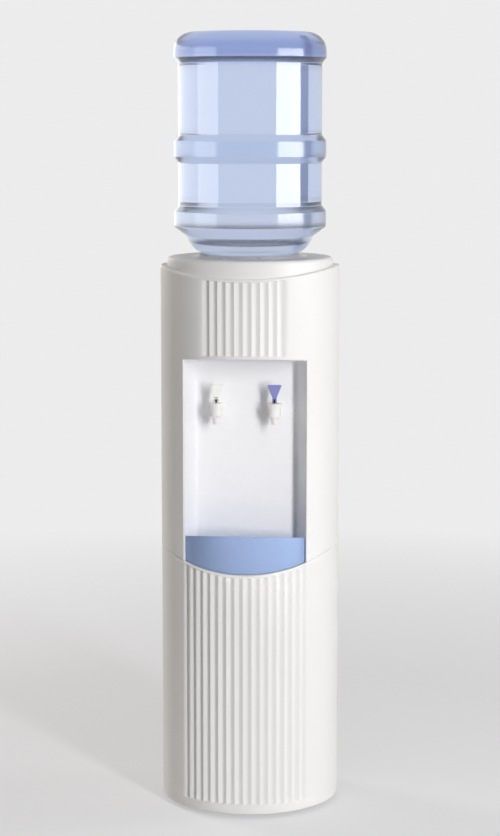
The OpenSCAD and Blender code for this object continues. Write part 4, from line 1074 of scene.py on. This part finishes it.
plainLamp = {"colour": (1, 1, 1), "aim": (0, 0, 0.75), "spread": 180, "mirrored": False}
lamps = {
    "key": {"azimuth": 32, "distance": 3.2, "height": 1.3, "size": (0.3, 2.0), "power": 70},
    "side": {"azimuth": 100, "distance": 3.2, "height": 1.25, "size": (0.8, 2.4), "power": 27},
    "kicker": {"azimuth": -125, "distance": 3.2, "height": 1.25, "size": (0.8, 2.4), "power": 54,
               "colour": (1, 0.92, 0.84)},
    "bottle_strip": {"azimuth": 67.4, "distance": 2.0, "height": 1.26, "size": (1.62, 0.7), "power": 35,
                     "aim": (0, 0, 1.26), "mirrored": True},
    "bottle_card_near": {"azimuth": -64, "distance": 1.25, "height": 1.26, "size": (0.88, 0.7), "power": 7,
                         "aim": (0, 0, 1.26), "mirrored": True},
    "bottle_card_far": {"azimuth": -122, "distance": 1.25, "height": 1.26, "size": (1.9, 0.7), "power": 6.5,
                        "aim": (0, 0, 1.26), "mirrored": True},
    "alcove_fill": {"azimuth": 22, "distance": 3.2, "height": 0.7, "size": (0.14, 0.32), "power": 0.032,
                    "aim": (0.005, -0.07, 0.55), "spread": 4},
    "overhead": {"azimuth": 20, "distance": 0.3, "height": 3.2, "size": (1.2, 1.2), "power": 12,
                 "aim": (0, 0, 1)},
}


def softbox(name, look):
    # A lamp either lights matt surfaces or shows in mirrors, never both
    lamp = bpy.data.lights.new(name, "AREA")
    lamp.shape = "RECTANGLE"
    lamp.size, lamp.size_y = look["size"]
    lamp.energy = look["power"]
    lamp.color = look["colour"]
    lamp.spread = math.radians(look["spread"])
    thing = bpy.data.objects.new(name, lamp)
    thing.location = around(look)
    thing.rotation_euler = (Vector(look["aim"]) - thing.location).to_track_quat("-Z", "Y").to_euler()
    thing.visible_diffuse = not look["mirrored"]
    thing.visible_glossy = look["mirrored"]
    thing.visible_transmission = False
    bpy.context.scene.collection.objects.link(thing)


for name, own in lamps.items():
    softbox(name, {**plainLamp, **own})

studio = {
    "backdrop": (0.84, 0.84, 0.85, 1),
    "ambient": (0.11, 0.106, 0.098, 1),
    "floor": (236, 236, 237),
    "lift": 0.5,  # share of the backdrop's own colour that the camera sees in the floor
    "fade": (0.9, 2.6),  # where the floor starts to fade and where it has gone
    "turns": 96,
}
flag = {
    "azimuth": -151.3,
    "distance": 1.6,
    "height": 1.2,
    "size": (0.195, 0.9),
    "colour": (0.6, 0.68, 0.95, 1),
}


def seenDirectly(f):
    # 1 for the camera, mirrors and glass
    path = f.node("LightPath")
    return path["Is Camera Ray"] + path["Is Glossy Ray"] + path["Is Transmission Ray"]


def surrounding():
    # Camera, mirror and glass see a pale backdrop; everything else gets a dim ambient
    f = Finish("surrounding", bpy.data.worlds.new("surrounding"))
    bpy.context.scene.world = f.material
    dim = f.node("Background", {}, {"Color": studio["ambient"]})["Background"]
    pale = f.node("Background", {}, {"Color": studio["backdrop"]})["Background"]
    mixed = f.node("MixShader", {}, {0: seenDirectly(f), 1: dim, 2: pale})["Shader"]
    f.node("OutputWorld", {}, {"Surface": mixed})


def stagePiece(bm, name, material):
    mesh = bpy.data.meshes.new(name)
    bm.to_mesh(mesh)
    bm.free()
    mesh.materials.append(material)
    thing = bpy.data.objects.new(name, mesh)
    bpy.context.scene.collection.objects.link(thing)
    return thing


def studioFloor():
    f = Finish("studio_floor")
    away = f.node("VectorMath", {"operation": "LENGTH"}, {0: f.here()})["Value"]
    gone = f.ramp(away, *studio["fade"])
    paper = f.node("BsdfDiffuse", {}, {"Color": tone(*studio["floor"])})["BSDF"]
    pale = f.node("Emission", {}, {"Color": studio["backdrop"]})["Emission"]
    lifted = f.node("MixShader", {}, {0: seenDirectly(f) * studio["lift"], 1: paper, 2: pale})["Shader"]
    clear = f.node("BsdfTransparent")["BSDF"]
    mixed = f.node("MixShader", {}, {0: gone, 1: lifted, 2: clear})["Shader"]
    f.node("OutputMaterial", {}, {"Surface": mixed})
    bm = bmesh.new()
    bmesh.ops.create_circle(bm, cap_ends=True, radius=studio["fade"][1], segments=studio["turns"])
    stagePiece(bm, "studio_floor", f.material)


def darkFlag():
    # A dark card behind the cooler that only shows through the clear bottle
    f = Finish("dark_flag")
    cloth = f.node("BsdfDiffuse", {}, {"Color": flag["colour"]})["BSDF"]
    f.node("OutputMaterial", {}, {"Surface": cloth})
    turned = Matrix.Rotation(math.radians(flag["azimuth"]), 4, "Z")
    upright = turned @ Matrix.Rotation(math.radians(90), 4, "X")
    place = Matrix.Translation(around(flag)) @ upright @ Matrix.Diagonal((*flag["size"], 1, 1))
    bm = bmesh.new()
    bmesh.ops.create_grid(bm, size=0.5, matrix=place)
    card = stagePiece(bm, "dark_flag", f.material)
    card.visible_camera = card.visible_diffuse = card.visible_glossy = card.visible_shadow = False


surrounding()
studioFloor()
darkFlag()
bpy.context.scene.view_settings.view_transform = "Standard"
